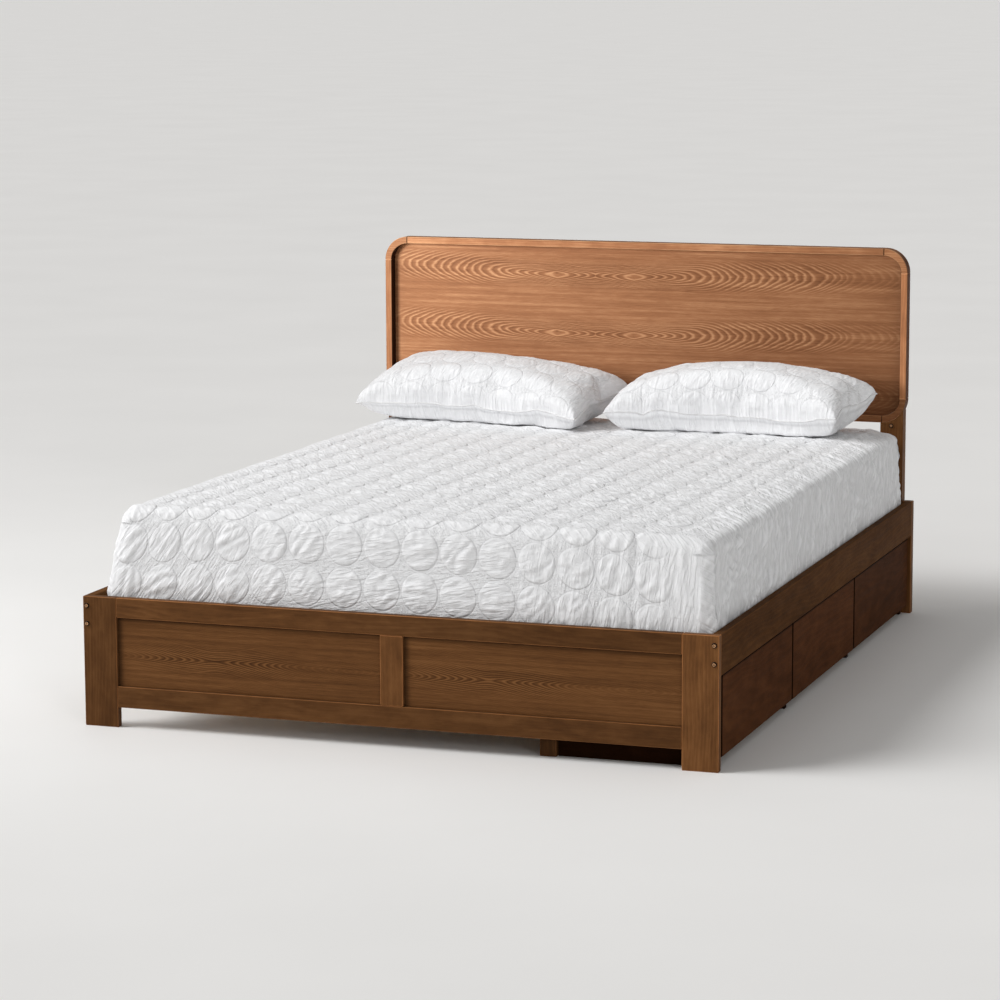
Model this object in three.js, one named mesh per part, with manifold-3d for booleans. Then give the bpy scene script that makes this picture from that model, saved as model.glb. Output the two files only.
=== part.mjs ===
// A platform bed with three storage drawers along one side: a framed footboard, side rails,
// a rounded headboard on two legs, drawer dividers with runners, slats, a mattress and pillows.
// Millimetres, +Z up. -Y is the foot end, +Y the head end and +X the drawer side.
// The origin is the centre of the bounding box, on the floor.
import * as THREE from 'three';
import { ConvexGeometry } from 'three/addons/geometries/ConvexGeometry.js';
import { mergeVertices } from 'three/addons/utils/BufferGeometryUtils.js';
import Module from 'manifold-3d';

const wasm = await Module();
wasm.setup();

// ---- Driving dimensions ----
const WIDTH = 1630;
const LENGTH = 2086;
const RAIL_TOP = 326.5;
const RAIL_BOTTOM = 227;
const FIT = 0.3;            // gap left where two pieces touch
const EDGE = 1.5;           // chamfer on the edges of the boards

const BOLT_HEAD_HEIGHT = 3.5;
const BOLT_HEAD_RADIUS = 6.5;
const BOLT_RADIUS = 3;
const BOLT_LENGTH = 70;
const BOLT_FROM_EDGE = 11;
const BOLT_HEIGHTS = [258, 303];

// The bolt heads stand proud of the foot end only, so the foot face lies off centre by half a head.
const FOOT = -(LENGTH - BOLT_HEAD_HEIGHT - FIT) / 2;
const HEAD = FOOT + LENGTH;
const SIDE = WIDTH / 2;

const FOOTBOARD_THICKNESS = 22;
const FOOT_POST_WIDTH = 89.5;
const FOOT_TOP_RAIL = [276.5, RAIL_TOP];
const FOOT_BOTTOM_RAIL = [50.4, 103.8];
const FOOT_STILE_WIDTH = 58.4;
const FOOT_PANEL_SET_BACK = 9;
const FOOT_PANEL_THICKNESS = 8;

const BOARD = 22;           // thickness of the side rails and the rear rail
const REAR_POST_DEPTH = 27;

const HEADBOARD_HALF_WIDTH = 795;
const HEADBOARD_Z = [554, 1053.5];
const HEADBOARD_DEPTH = 38;
const HEADBOARD_FACE = 19.5;        // width of the frame seen from the front
const HEADBOARD_RADIUS = 69.5;      // outer radius of the corner pieces
const HEADBOARD_PANEL_THICKNESS = 8;
const HEADBOARD_LEG_X = [722, 788];
const HEADBOARD_BOLT = { x: 754, z: 546, length: 30 };

const SLAT_TOP = 260;
const SLAT_THICKNESS = 15;
const SLAT_WIDTH = 68;
const SLAT_COUNT = 13;
const TAPE = { width: 38, thickness: 1.5, x: 470 };

const BEAM_WIDTH = 42;
const BEAM_DEPTH = 45;
const DRAWER_BEAM_X = 384;
const CENTRE_BEAM_X = -204;
const BEAM_LEG_THICKNESS = 22;
const BEAM_LEG_SET_BACK = 36;       // drawer beam's foot leg, behind the footboard's face
const CENTRE_LEG_SPREAD = 545;

const DRAWER_NAMES = ['foot', 'middle', 'head'];
const DRAWER_PITCH = 666;
const FIRST_SEAM = 60;              // first drawer seam, measured from the foot face
const FRONT_WIDTH = 657;
const FRONT_Z = [23, 220.5];
const FRONT_THICKNESS = 17;
const FRONT_SET_BACK = 9;           // behind the side rail's outer face
const BOX_DEPTH = 396;
const BOX_Z = [34, 192];
const BOX_BOARD = 14;
const BOX_CLEARANCE = 4;            // between a drawer side and its divider
const BOTTOM_THICKNESS = 6;
const BOTTOM_Z = 42;
const BOTTOM_GROOVE = 6;
const DIVIDER_THICKNESS = 18;
const RUNNER_Z = [110, 126];        // the groove in a drawer side
const RUNNER_GROOVE = 7;
const RUNNER_PLAY = 0.6;

const MATTRESS_X = [-778, 790];
const MATTRESS_Y = [40, 2044];      // from the foot face
const MATTRESS_TOP = 546;
const MATTRESS_CORNER = 40;
const MATTRESS_ROUNDING = 18;

const PILLOW_HALF = { x: 358, y: 160, z: 88 };
const PILLOWS = [
  { name: 'pillow_left', x: -402, y: 1870, z: 651, tilt: 10, yaw: -4.5 },
  { name: 'pillow_right', x: 352, y: 1872, z: 651, tilt: 10, yaw: -0.5 },
];

// ---- Materials ----
function finish(color, roughness, metalness = 0) {
  return new THREE.MeshStandardMaterial({ color, roughness, metalness });
}

const walnut = finish(0x68462a, 0.55);
const headboardWood = finish(0x9c6a44, 0.5);
const drawerWood = finish(0x553622, 0.55);
const boxWood = finish(0xb98f62, 0.6);
const slatWood = finish(0xc49a6b, 0.65);
const bronze = finish(0x5a3a26, 0.35, 0.9);
const quilt = finish(0xefedeb, 0.9);
const pillowCloth = finish(0xf3f1ef, 0.9);

// ---- Helpers ----
const bed = new THREE.Group();

function add(name, geometry, material, [x, y, z] = [0, 0, 0]) {
  const mesh = new THREE.Mesh(geometry, material);
  mesh.name = name;
  mesh.position.set(x, y, z);
  bed.add(mesh);
  return mesh;
}

// A box with its twelve edges chamfered, centred on the origin.
function chamferedBox(width, depth, height, chamfer = EDGE) {
  const half = [width / 2, depth / 2, height / 2];
  const points = [];
  for (const sx of [-1, 1]) {
    for (const sy of [-1, 1]) {
      for (const sz of [-1, 1]) {
        for (const flush of [0, 1, 2]) {
          const [x, y, z] = half.map((size, axis) => size - (axis === flush ? 0 : chamfer));
          points.push(new THREE.Vector3(sx * x, sy * y, sz * z));
        }
      }
    }
  }
  return new ConvexGeometry(points);
}

// A chamfered board given by its lowest and highest x, y and z.
function board(name, material, x, y, z, chamfer = EDGE) {
  const geometry = chamferedBox(x[1] - x[0], y[1] - y[0], z[1] - z[0], chamfer);
  return add(name, geometry, material, [(x[0] + x[1]) / 2, (y[0] + y[1]) / 2, (z[0] + z[1]) / 2]);
}

function outline(points) {
  const shape = new THREE.Shape();
  shape.moveTo(...points[0]);
  points.slice(1).forEach((point) => shape.lineTo(...point));
  shape.closePath();
  return shape;
}

// A shape drawn in X and Z, extruded along Y from y[0] to y[1].
function extrudeAlongY(shape, y, chamfer = 0) {
  const geometry = new THREE.ExtrudeGeometry(shape, {
    depth: y[1] - y[0] - 2 * chamfer,
    curveSegments: 10,
    bevelEnabled: chamfer > 0,
    bevelSegments: 1,
    bevelSize: chamfer,
    bevelThickness: chamfer,
    bevelOffset: -chamfer,
  });
  geometry.rotateX(Math.PI / 2);
  geometry.translate(0, y[1] - chamfer, 0);
  return geometry;
}

// A shape drawn in Y and Z, extruded along X from x[0] to x[1].
function extrudeAlongX(shape, x) {
  const geometry = new THREE.ExtrudeGeometry(shape, { depth: x[1] - x[0], bevelEnabled: false });
  geometry.rotateX(Math.PI / 2);
  geometry.rotateZ(Math.PI / 2);
  geometry.translate(x[0], 0, 0);
  return geometry;
}

function toSolid(geometry) {
  const bare = geometry.clone();
  bare.deleteAttribute('normal');
  bare.deleteAttribute('uv');
  const merged = mergeVertices(bare, 1e-4);
  return new wasm.Manifold(new wasm.Mesh({
    numProp: 3,
    vertProperties: new Float32Array(merged.attributes.position.array),
    triVerts: new Uint32Array(merged.index.array),
  }));
}

function toGeometry(solid) {
  const { vertProperties, triVerts } = solid.getMesh();
  const geometry = new THREE.BufferGeometry();
  geometry.setAttribute('position', new THREE.BufferAttribute(vertProperties, 3));
  geometry.setIndex(new THREE.BufferAttribute(triVerts, 1));
  geometry.computeVertexNormals();
  return geometry;
}

// Drills round holes along Y into a mesh. Each hole is { x, z, y: [from, to] } in the bed's frame.
function drill(mesh, holes) {
  let solid = toSolid(mesh.geometry);
  for (const { x, z, y } of holes) {
    const bit = new THREE.CylinderGeometry(BOLT_RADIUS + FIT, BOLT_RADIUS + FIT, y[1] - y[0], 16);
    bit.translate(x - mesh.position.x, (y[0] + y[1]) / 2 - mesh.position.y, z - mesh.position.z);
    solid = solid.subtract(toSolid(bit));
  }
  mesh.geometry = toGeometry(solid);
}

// A button-head bolt along +Y with its head's underside at the origin and a socket in the head.
function boltGeometry(length) {
  const domeSteps = 3;
  const rim = 0.8;
  const socketDepth = 2.2;
  const socketRadius = 2.3;
  const points = [
    new THREE.Vector2(0, socketDepth - BOLT_HEAD_HEIGHT),
    new THREE.Vector2(socketRadius, socketDepth - BOLT_HEAD_HEIGHT),
  ];
  for (let step = domeSteps; step >= 0; step -= 1) {
    const turn = (step / domeSteps) * Math.PI / 2;
    const radius = socketRadius + (BOLT_HEAD_RADIUS - socketRadius) * Math.cos(turn);
    points.push(new THREE.Vector2(radius, -rim - (BOLT_HEAD_HEIGHT - rim) * Math.sin(turn)));
  }
  points.push(
    new THREE.Vector2(BOLT_HEAD_RADIUS, 0),
    new THREE.Vector2(BOLT_RADIUS, 0),
    new THREE.Vector2(BOLT_RADIUS, length),
    new THREE.Vector2(0, length),
  );
  return new THREE.LatheGeometry(points, 12);
}

function mirrored([low, high], side) {
  return side > 0 ? [low, high] : [-high, -low];
}

const SIDES = [{ word: 'left', side: -1 }, { word: 'right', side: 1 }];

// ---- Footboard ----
function buildFootboard() {
  const y = [FOOT, FOOT + FOOTBOARD_THICKNESS];
  const inner = SIDE - FOOT_POST_WIDTH;
  const stile = FOOT_STILE_WIDTH / 2;
  const panelFace = FOOT + FOOT_PANEL_SET_BACK;
  const between = [FOOT_BOTTOM_RAIL[1] + FIT, FOOT_TOP_RAIL[0] - FIT];
  for (const { word, side } of SIDES) {
    board(`foot_post_${word}`, walnut, mirrored([inner, SIDE], side), y, [0, RAIL_TOP]);
    board(`foot_panel_${word}`, walnut, mirrored([stile + FIT, inner - FIT], side),
      [panelFace, panelFace + FOOT_PANEL_THICKNESS], between, 0.5);
  }
  board('foot_top_rail', walnut, [-inner + FIT, inner - FIT], y, FOOT_TOP_RAIL);
  board('foot_bottom_rail', walnut, [-inner + FIT, inner - FIT], y, FOOT_BOTTOM_RAIL);
  board('foot_middle_stile', walnut, [-stile, stile], y, between);
}

// ---- Side rails, ledgers, rear posts and rear rail ----
function buildSides() {
  const postFront = HEAD - REAR_POST_DEPTH;
  const railY = [FOOT + FOOTBOARD_THICKNESS + FIT, postFront - FIT];
  const ledgerInset = 20;
  for (const { word, side } of SIDES) {
    board(`side_rail_${word}`, walnut, mirrored([SIDE - BOARD, SIDE], side), railY, [RAIL_BOTTOM, RAIL_TOP]);
    const ledgerX = mirrored([SIDE - 2 * BOARD, SIDE - BOARD - FIT], side);
    const ledgerY = [railY[0] + ledgerInset, HEAD - HEADBOARD_DEPTH - FIT];
    board(`slat_ledger_${word}`, slatWood, ledgerX, ledgerY, [RAIL_BOTTOM, SLAT_TOP - SLAT_THICKNESS - FIT]);
    const postX = mirrored([HEADBOARD_LEG_X[1] + FIT, SIDE], side);
    board(`rear_post_${word}`, walnut, postX, [postFront, HEAD], [0, RAIL_TOP]);
  }
  const inner = HEADBOARD_LEG_X[0] - FIT;
  board('rear_rail', walnut, [-inner, inner], [postFront, postFront + BOARD], [RAIL_BOTTOM, RAIL_TOP]);
}

// ---- Headboard ----
function quarterRing(outer, inner) {
  const shape = new THREE.Shape();
  shape.moveTo(outer, 0);
  shape.absarc(0, 0, outer, 0, Math.PI / 2, false);
  shape.lineTo(0, inner);
  shape.absarc(0, 0, inner, Math.PI / 2, 0, true);
  shape.closePath();
  return shape;
}

function roundedRectangle(halfWidth, halfHeight, radius) {
  const shape = new THREE.Shape();
  const x = halfWidth - radius;
  const z = halfHeight - radius;
  shape.moveTo(halfWidth, -z);
  shape.absarc(x, z, radius, 0, Math.PI / 2, false);
  shape.absarc(-x, z, radius, Math.PI / 2, Math.PI, false);
  shape.absarc(-x, -z, radius, Math.PI, 1.5 * Math.PI, false);
  shape.absarc(x, -z, radius, 1.5 * Math.PI, 2 * Math.PI, false);
  return shape;
}

// A headboard leg, with its top cut to follow the corner piece that it carries.
function headboardLegShape() {
  const [near, far] = HEADBOARD_LEG_X;
  const centreX = HEADBOARD_HALF_WIDTH - HEADBOARD_RADIUS;
  const centreZ = HEADBOARD_Z[0] + HEADBOARD_RADIUS;
  const radius = HEADBOARD_RADIUS + FIT;
  const endAngle = -Math.acos((far - centreX) / radius);
  const shape = new THREE.Shape();
  shape.moveTo(near, 0);
  shape.lineTo(near, centreZ - radius);
  shape.lineTo(centreX, centreZ - radius);
  shape.absarc(centreX, centreZ, radius, -Math.PI / 2, endAngle, false);
  shape.lineTo(far, 0);
  shape.closePath();
  return shape;
}

function buildHeadboard() {
  const y = [HEAD - HEADBOARD_DEPTH, HEAD];
  const straight = HEADBOARD_HALF_WIDTH - HEADBOARD_RADIUS;
  const [bottom, top] = HEADBOARD_Z;
  const face = HEADBOARD_FACE;
  board('headboard_top_rail', headboardWood, [-straight + FIT, straight - FIT], y, [top - face, top]);
  board('headboard_bottom_rail', headboardWood, [-straight + FIT, straight - FIT], y, [bottom, bottom + face]);

  const cornerHeights = [
    { word: 'bottom', z: bottom + HEADBOARD_RADIUS, side: -1 },
    { word: 'top', z: top - HEADBOARD_RADIUS, side: 1 },
  ];
  const stileZ = [cornerHeights[0].z + FIT, cornerHeights[1].z - FIT];
  for (const { word, side } of SIDES) {
    const stileX = mirrored([HEADBOARD_HALF_WIDTH - face, HEADBOARD_HALF_WIDTH], side);
    board(`headboard_stile_${word}`, headboardWood, stileX, y, stileZ);
    for (const corner of cornerHeights) {
      const ring = quarterRing(HEADBOARD_RADIUS, HEADBOARD_RADIUS - face);
      const geometry = extrudeAlongY(ring, [-HEADBOARD_DEPTH / 2, HEADBOARD_DEPTH / 2], EDGE);
      const mesh = add(`headboard_corner_${corner.word}_${word}`, geometry, headboardWood,
        [side * straight, (y[0] + y[1]) / 2, corner.z]);
      const quarterTurns = { '1,1': 0, '-1,1': 1, '-1,-1': 2, '1,-1': 3 }[`${side},${corner.side}`];
      mesh.rotation.y = -quarterTurns * Math.PI / 2;
    }
    const leg = extrudeAlongY(headboardLegShape(), [-HEADBOARD_DEPTH / 2, HEADBOARD_DEPTH / 2]);
    const legMesh = add(`headboard_leg_${word}`, leg, walnut, [0, (y[0] + y[1]) / 2, 0]);
    if (side < 0) {
      legMesh.rotation.z = Math.PI;
    }
  }
  const panel = roundedRectangle(HEADBOARD_HALF_WIDTH - face - FIT, (top - bottom) / 2 - face - FIT,
    HEADBOARD_RADIUS - face - FIT);
  const panelY = [HEAD - HEADBOARD_PANEL_THICKNESS, HEAD];
  add('headboard_panel', extrudeAlongY(panel, panelY), headboardWood, [0, 0, (top + bottom) / 2]);
}

// ---- Beams and slats ----
function buildBeams() {
  const beamTop = SLAT_TOP - SLAT_THICKNESS - FIT;
  const beamBottom = beamTop - BEAM_DEPTH;
  const half = BEAM_WIDTH / 2;
  const beamY = [FOOT + FOOTBOARD_THICKNESS + FIT, HEAD - REAR_POST_DEPTH - FIT];
  const drawerX = [DRAWER_BEAM_X - half, DRAWER_BEAM_X + half];
  const centreX = [CENTRE_BEAM_X - half, CENTRE_BEAM_X + half];
  const legZ = [0, beamBottom - FIT];
  board('drawer_beam', slatWood, drawerX, beamY, [beamBottom, beamTop]);
  board('centre_beam', slatWood, centreX, beamY, [beamBottom, beamTop]);

  const footLeg = FOOT + BEAM_LEG_SET_BACK;
  const headLeg = HEAD - HEADBOARD_DEPTH - FIT;
  board('drawer_beam_leg_foot', walnut, drawerX, [footLeg, footLeg + BEAM_LEG_THICKNESS], legZ);
  board('drawer_beam_leg_head', walnut, drawerX, [headLeg - BEAM_LEG_THICKNESS, headLeg], legZ);
  const middle = (FOOT + HEAD) / 2;
  [-1, 1].forEach((side, index) => {
    const y = middle + side * CENTRE_LEG_SPREAD;
    board(`centre_beam_leg_${index + 1}`, walnut, centreX, [y - half, y + half], legZ);
  });
}

// The slats come as a roll: boards held at an even spacing by two woven tapes stapled underneath.
function buildSlats() {
  const inner = SIDE - BOARD - FIT;
  const endGap = 16;
  const first = FOOT + FOOTBOARD_THICKNESS + endGap + SLAT_WIDTH / 2;
  const last = HEAD - HEADBOARD_DEPTH - endGap - SLAT_WIDTH / 2;
  const pitch = (last - first) / (SLAT_COUNT - 1);
  const z = SLAT_TOP - SLAT_THICKNESS / 2;
  let roll = null;
  for (let index = 0; index < SLAT_COUNT; index += 1) {
    const slat = chamferedBox(2 * inner, SLAT_WIDTH, SLAT_THICKNESS, 1);
    slat.translate(0, first + index * pitch, z);
    roll = roll ? roll.add(toSolid(slat)) : toSolid(slat);
  }
  for (const side of [-1, 1]) {
    const tape = new THREE.BoxGeometry(TAPE.width, last - first + SLAT_WIDTH / 2, TAPE.thickness);
    const sunk = 0.5;
    const tapeZ = SLAT_TOP - SLAT_THICKNESS + sunk + TAPE.thickness / 2;
    tape.translate(side * TAPE.x, (first + last) / 2, tapeZ);
    roll = roll.add(toSolid(tape));
  }
  add('slat_roll', toGeometry(roll), slatWood);
}

// ---- Drawer dividers and drawers ----
const FRONT_FACE = SIDE - FRONT_SET_BACK;
const FRONT_BACK = FRONT_FACE - FRONT_THICKNESS;
const BOX_BACK = FRONT_BACK - BOX_DEPTH;

// Middle of each divider along Y. The last one stands against the headboard legs.
function dividerCentres() {
  const centres = [0, 1, 2].map((index) => FOOT + FIRST_SEAM + index * DRAWER_PITCH);
  centres.push(HEAD - HEADBOARD_DEPTH - FIT - DIVIDER_THICKNESS / 2);
  return centres;
}

// A divider board's section, with a runner rib standing out of each side that has a drawer.
function dividerSection(ribBefore, ribAfter) {
  const half = DIVIDER_THICKNESS / 2;
  const reach = half + BOX_CLEARANCE + RUNNER_GROOVE - RUNNER_PLAY;
  const low = RUNNER_Z[0] + RUNNER_PLAY;
  const high = RUNNER_Z[1] - RUNNER_PLAY;
  const top = RAIL_BOTTOM - FIT;
  const points = [[-half, 0], [half, 0]];
  if (ribAfter) {
    points.push([half, low], [reach, low], [reach, high], [half, high]);
  }
  points.push([half, top], [-half, top]);
  if (ribBefore) {
    points.push([-half, high], [-reach, high], [-reach, low], [-half, low]);
  }
  return outline(points);
}

function buildDividers() {
  const x = [DRAWER_BEAM_X + BEAM_WIDTH / 2 + FIT, FRONT_BACK - 2 * FIT];
  const centres = dividerCentres();
  centres.forEach((y, index) => {
    const section = dividerSection(index > 0, index < centres.length - 1);
    add(`drawer_divider_${index + 1}`, extrudeAlongX(section, x), drawerWood, [0, y, 0]);
  });
}

// A drawer side's section: Y runs from its outer face (0) to its inner face, with the runner
// groove outside and the groove for the bottom board inside.
function drawerSideSection() {
  const [low, high] = BOX_Z;
  const groove = [BOTTOM_Z - FIT, BOTTOM_Z + BOTTOM_THICKNESS + FIT];
  const inside = BOX_BOARD - BOTTOM_GROOVE;
  return outline([
    [0, low], [BOX_BOARD, low],
    [BOX_BOARD, groove[0]], [inside, groove[0]], [inside, groove[1]], [BOX_BOARD, groove[1]],
    [BOX_BOARD, high], [0, high],
    [0, RUNNER_Z[1]], [RUNNER_GROOVE, RUNNER_Z[1]], [RUNNER_GROOVE, RUNNER_Z[0]], [0, RUNNER_Z[0]],
  ]);
}

function buildDrawer(name, bay, frontCentre) {
  const boxY = [bay[0] + BOX_CLEARANCE, bay[1] - BOX_CLEARANCE];
  const x = [BOX_BACK, FRONT_BACK - FIT];
  board(`drawer_${name}_front`, drawerWood, [FRONT_BACK, FRONT_FACE],
    [frontCentre - FRONT_WIDTH / 2, frontCentre + FRONT_WIDTH / 2], FRONT_Z);

  add(`drawer_${name}_side_foot`, extrudeAlongX(drawerSideSection(), x), boxWood, [0, boxY[0], 0]);
  const headSide = add(`drawer_${name}_side_head`, extrudeAlongX(drawerSideSection(), [-x[1], -x[0]]),
    boxWood, [0, boxY[1], 0]);
  headSide.rotation.z = Math.PI;

  const inner = [boxY[0] + BOX_BOARD + FIT, boxY[1] - BOX_BOARD - FIT];
  const backZ = [BOTTOM_Z + BOTTOM_THICKNESS + FIT, BOX_Z[1]];
  board(`drawer_${name}_back`, boxWood, [BOX_BACK, BOX_BACK + BOX_BOARD], inner, backZ, 0.5);
  const intoGroove = BOTTOM_GROOVE - FIT;
  board(`drawer_${name}_bottom`, boxWood, x, [inner[0] - intoGroove, inner[1] + intoGroove],
    [BOTTOM_Z, BOTTOM_Z + BOTTOM_THICKNESS], 0.5);
}

function buildDrawers() {
  const centres = dividerCentres();
  DRAWER_NAMES.forEach((name, index) => {
    const half = DIVIDER_THICKNESS / 2;
    const frontCentre = FOOT + FIRST_SEAM + (index + 0.5) * DRAWER_PITCH;
    buildDrawer(name, [centres[index] + half, centres[index + 1] - half], frontCentre);
  });
}

// ---- Bolts ----
function buildBolts() {
  const reach = BOLT_LENGTH + 2;
  for (const { word, side } of SIDES) {
    const x = side * (SIDE - BOLT_FROM_EDGE);
    const holes = BOLT_HEIGHTS.map((z) => ({ x, z, y: [FOOT - 1, FOOT + reach] }));
    drill(bed.getObjectByName(`foot_post_${word}`), holes);
    drill(bed.getObjectByName(`side_rail_${word}`), holes);
    BOLT_HEIGHTS.forEach((z, index) => {
      const level = ['lower', 'upper'][index];
      add(`foot_bolt_${level}_${word}`, boltGeometry(BOLT_LENGTH), bronze, [x, FOOT - FIT, z]);
    });
    const face = HEAD - HEADBOARD_DEPTH;
    const boltX = side * HEADBOARD_BOLT.x;
    const depth = HEADBOARD_BOLT.length + 2;
    drillTurned(`headboard_leg_${word}`, { x: boltX, z: HEADBOARD_BOLT.z, y: [face - 1, face + depth] });
    add(`headboard_bolt_${word}`, boltGeometry(HEADBOARD_BOLT.length), bronze,
      [boltX, face - FIT, HEADBOARD_BOLT.z]);
  }
}

// Drills a mesh that may be turned half round about Z.
function drillTurned(name, { x, z, y }) {
  const mesh = bed.getObjectByName(name);
  const turn = mesh.rotation.z === 0 ? 1 : -1;
  const local = y.map((value) => mesh.position.y + turn * (value - mesh.position.y)).sort((a, b) => a - b);
  drill(mesh, [{ x: turn * x, z, y: local }]);
}

// ---- Mattress and pillows ----
function buildMattress() {
  const half = [(MATTRESS_X[1] - MATTRESS_X[0]) / 2, (MATTRESS_Y[1] - MATTRESS_Y[0]) / 2];
  const height = MATTRESS_TOP - SLAT_TOP - FIT;
  const geometry = new THREE.ExtrudeGeometry(roundedRectangle(half[0], half[1], MATTRESS_CORNER), {
    depth: height - 2 * MATTRESS_ROUNDING,
    curveSegments: 5,
    bevelEnabled: true,
    bevelSegments: 2,
    bevelSize: MATTRESS_ROUNDING,
    bevelThickness: MATTRESS_ROUNDING,
    bevelOffset: -MATTRESS_ROUNDING,
  });
  add('mattress', geometry, quilt, [
    (MATTRESS_X[0] + MATTRESS_X[1]) / 2,
    FOOT + (MATTRESS_Y[0] + MATTRESS_Y[1]) / 2,
    SLAT_TOP + FIT + MATTRESS_ROUNDING,
  ]);
}

// A plump cushion: a sphere squared off in plan and flattened.
function pillowGeometry() {
  const geometry = new THREE.SphereGeometry(1, 28, 10);
  geometry.rotateX(Math.PI / 2);
  const position = geometry.attributes.position;
  const squareness = 0.45;
  const bulge = 0.8;
  const seam = 1e-6;                // where the sphere's first and last columns meet
  const power = (value, exponent) => (Math.abs(value) < seam ? 0 : Math.sign(value) * Math.abs(value) ** exponent);
  for (let index = 0; index < position.count; index += 1) {
    const [x, y, z] = [position.getX(index), position.getY(index), position.getZ(index)];
    const plan = Math.hypot(x, y) || 1;
    const reach = plan ** squareness;
    position.setXYZ(index,
      PILLOW_HALF.x * reach * power(x / plan, squareness),
      PILLOW_HALF.y * reach * power(y / plan, squareness),
      PILLOW_HALF.z * power(z, bulge));
  }
  return geometry;
}

function buildPillows() {
  for (const { name, x, y, z, tilt, yaw } of PILLOWS) {
    const mesh = add(name, pillowGeometry(), pillowCloth, [x, FOOT + y, z]);
    mesh.rotation.order = 'ZYX';
    mesh.rotation.set(THREE.MathUtils.degToRad(tilt), 0, THREE.MathUtils.degToRad(yaw));
  }
}

buildFootboard();
buildSides();
buildHeadboard();
buildBeams();
buildSlats();
buildDividers();
buildDrawers();
buildBolts();
buildMattress();
buildPillows();

export default bed;
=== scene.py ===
"""The looks of the platform bed: stained wood, bronzed bolts, a quilted mattress and two pillows.

Metres, +Z up. -Y is the foot end, +Y the head end and +X the drawer side.
"""
import math

import bmesh
import bpy
import numpy as np
from mathutils import Matrix, Vector


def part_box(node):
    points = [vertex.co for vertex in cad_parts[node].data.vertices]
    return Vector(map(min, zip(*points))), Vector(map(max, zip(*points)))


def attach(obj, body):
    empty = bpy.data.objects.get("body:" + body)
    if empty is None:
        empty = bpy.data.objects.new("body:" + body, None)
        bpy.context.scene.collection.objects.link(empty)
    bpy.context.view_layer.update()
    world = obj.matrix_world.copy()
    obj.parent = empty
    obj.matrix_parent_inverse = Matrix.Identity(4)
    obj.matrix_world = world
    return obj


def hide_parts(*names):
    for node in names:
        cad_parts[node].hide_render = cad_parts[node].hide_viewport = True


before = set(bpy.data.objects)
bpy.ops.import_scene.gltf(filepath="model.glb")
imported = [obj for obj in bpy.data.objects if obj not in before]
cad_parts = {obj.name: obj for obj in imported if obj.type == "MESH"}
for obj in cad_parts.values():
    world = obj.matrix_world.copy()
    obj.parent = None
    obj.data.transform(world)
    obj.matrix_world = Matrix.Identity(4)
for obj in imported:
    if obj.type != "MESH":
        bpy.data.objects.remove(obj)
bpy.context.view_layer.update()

MM = 0.001
BODIES = {"foot": "drawer_foot", "middle": "drawer_middle", "head": "drawer_head"}

# ---- Quilting ----
PITCH = 98 * MM                 # from one stitched circle to the next
STITCH_RADIUS = 47.5 * MM
STITCH_LENGTH = 3.6 * MM
THREAD_PITCH = 0.62 * MM        # of the cotton's weave
TWILL_PITCH = 1.4 * MM          # of the piping's cord
CELL_POINTS = 35                # points along one side of a simulated cell
CELL_ROWS = 4                   # the cell library holds CELL_ROWS squared cells
COLUMN_LINE_X = 9 * MM          # one line between two columns of circles
ROW_LINE_Z = 416 * MM           # one line between two rows, on the mattress's foot face
FOOT_STRETCH = 1.05             # how much taller the circles are on the foot face
ROW_ARCH = 0.070                # how fast the rows fall away from their highest place, at ROW_ARCH_X
ROW_ARCH_X = -0.13

# ---- Mattress ----
MATTRESS_STEP = 4.4 * MM
MATTRESS_ROUND = np.array([42, 24, 42]) * MM
LEAN = {"left": 42 * MM, "right": 12 * MM, "foot": 16 * MM, "head": 6 * MM}
TOP_DROP = 10 * MM              # how much lower the top lies at the head than at the foot
RAIL_ROOM = 0.7915              # half the mattress's room between the side rails
RAIL_TOP = 0.326

# ---- Pillows ----
PILLOW_CLOTH = (0.745, 0.40)
PILLOW_STEP = 8 * MM
PILLOW_CORNERS = {              # seam corners: foot left, foot right, head right
    "pillow_left": ((-0.777, 0.708, 0.596), (-0.082, 0.646, 0.570), (-0.014, 0.950, 0.639)),
    "pillow_right": ((-0.013, 0.695, 0.590), (0.668, 0.693, 0.599), (0.727, 0.936, 0.649)),
}
PILLOW_SWELL = {                # how far it swells above its seam, how roundly, and the same below it
    "pillow_left": (0.112, 0.63, 0.106, 0.69),
    "pillow_right": (0.119, 0.70, 0.103, 0.53),
}


# ======== Numbers and meshes ========
def smooth(value, low, high):
    """0 below low, 1 above high and a smooth rise between them."""
    t = np.clip((value - low) / (high - low), 0, 1)
    return t * t * (3 - 2 * t)


def band(value, low, full, still_full, high):
    """0 outside low to high, 1 from full to still_full, and smooth between."""
    return smooth(value, low, full) * (1 - smooth(value, still_full, high))


def noise(x, y, z, seed):
    """Gradient noise, about -1 to 1, at arrays of points."""
    size = 64
    random = np.random.default_rng(seed)
    gradients = random.normal(size=(size, size, size, 3)).astype(np.float32)
    gradients /= np.linalg.norm(gradients, axis=3, keepdims=True)
    point = np.stack(np.broadcast_arrays(x, y, z), axis=-1).astype(np.float32)
    base = np.floor(point).astype(int)
    part = point - base
    ease = part ** 3 * (part * (part * 6 - 15) + 10)
    total = np.zeros(point.shape[:-1])
    for corner in np.ndindex(2, 2, 2):
        at = np.array(corner)
        cell = (base + at) % size
        slope = (gradients[cell[..., 0], cell[..., 1], cell[..., 2]] * (part - at)).sum(-1)
        total += slope * np.where(at, ease, 1 - ease).prod(-1)
    return total * 1.7


def rotated(u, v, turn):
    """Distances along and across a direction."""
    return u * np.cos(turn) + v * np.sin(turn), v * np.cos(turn) - u * np.sin(turn)


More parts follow.
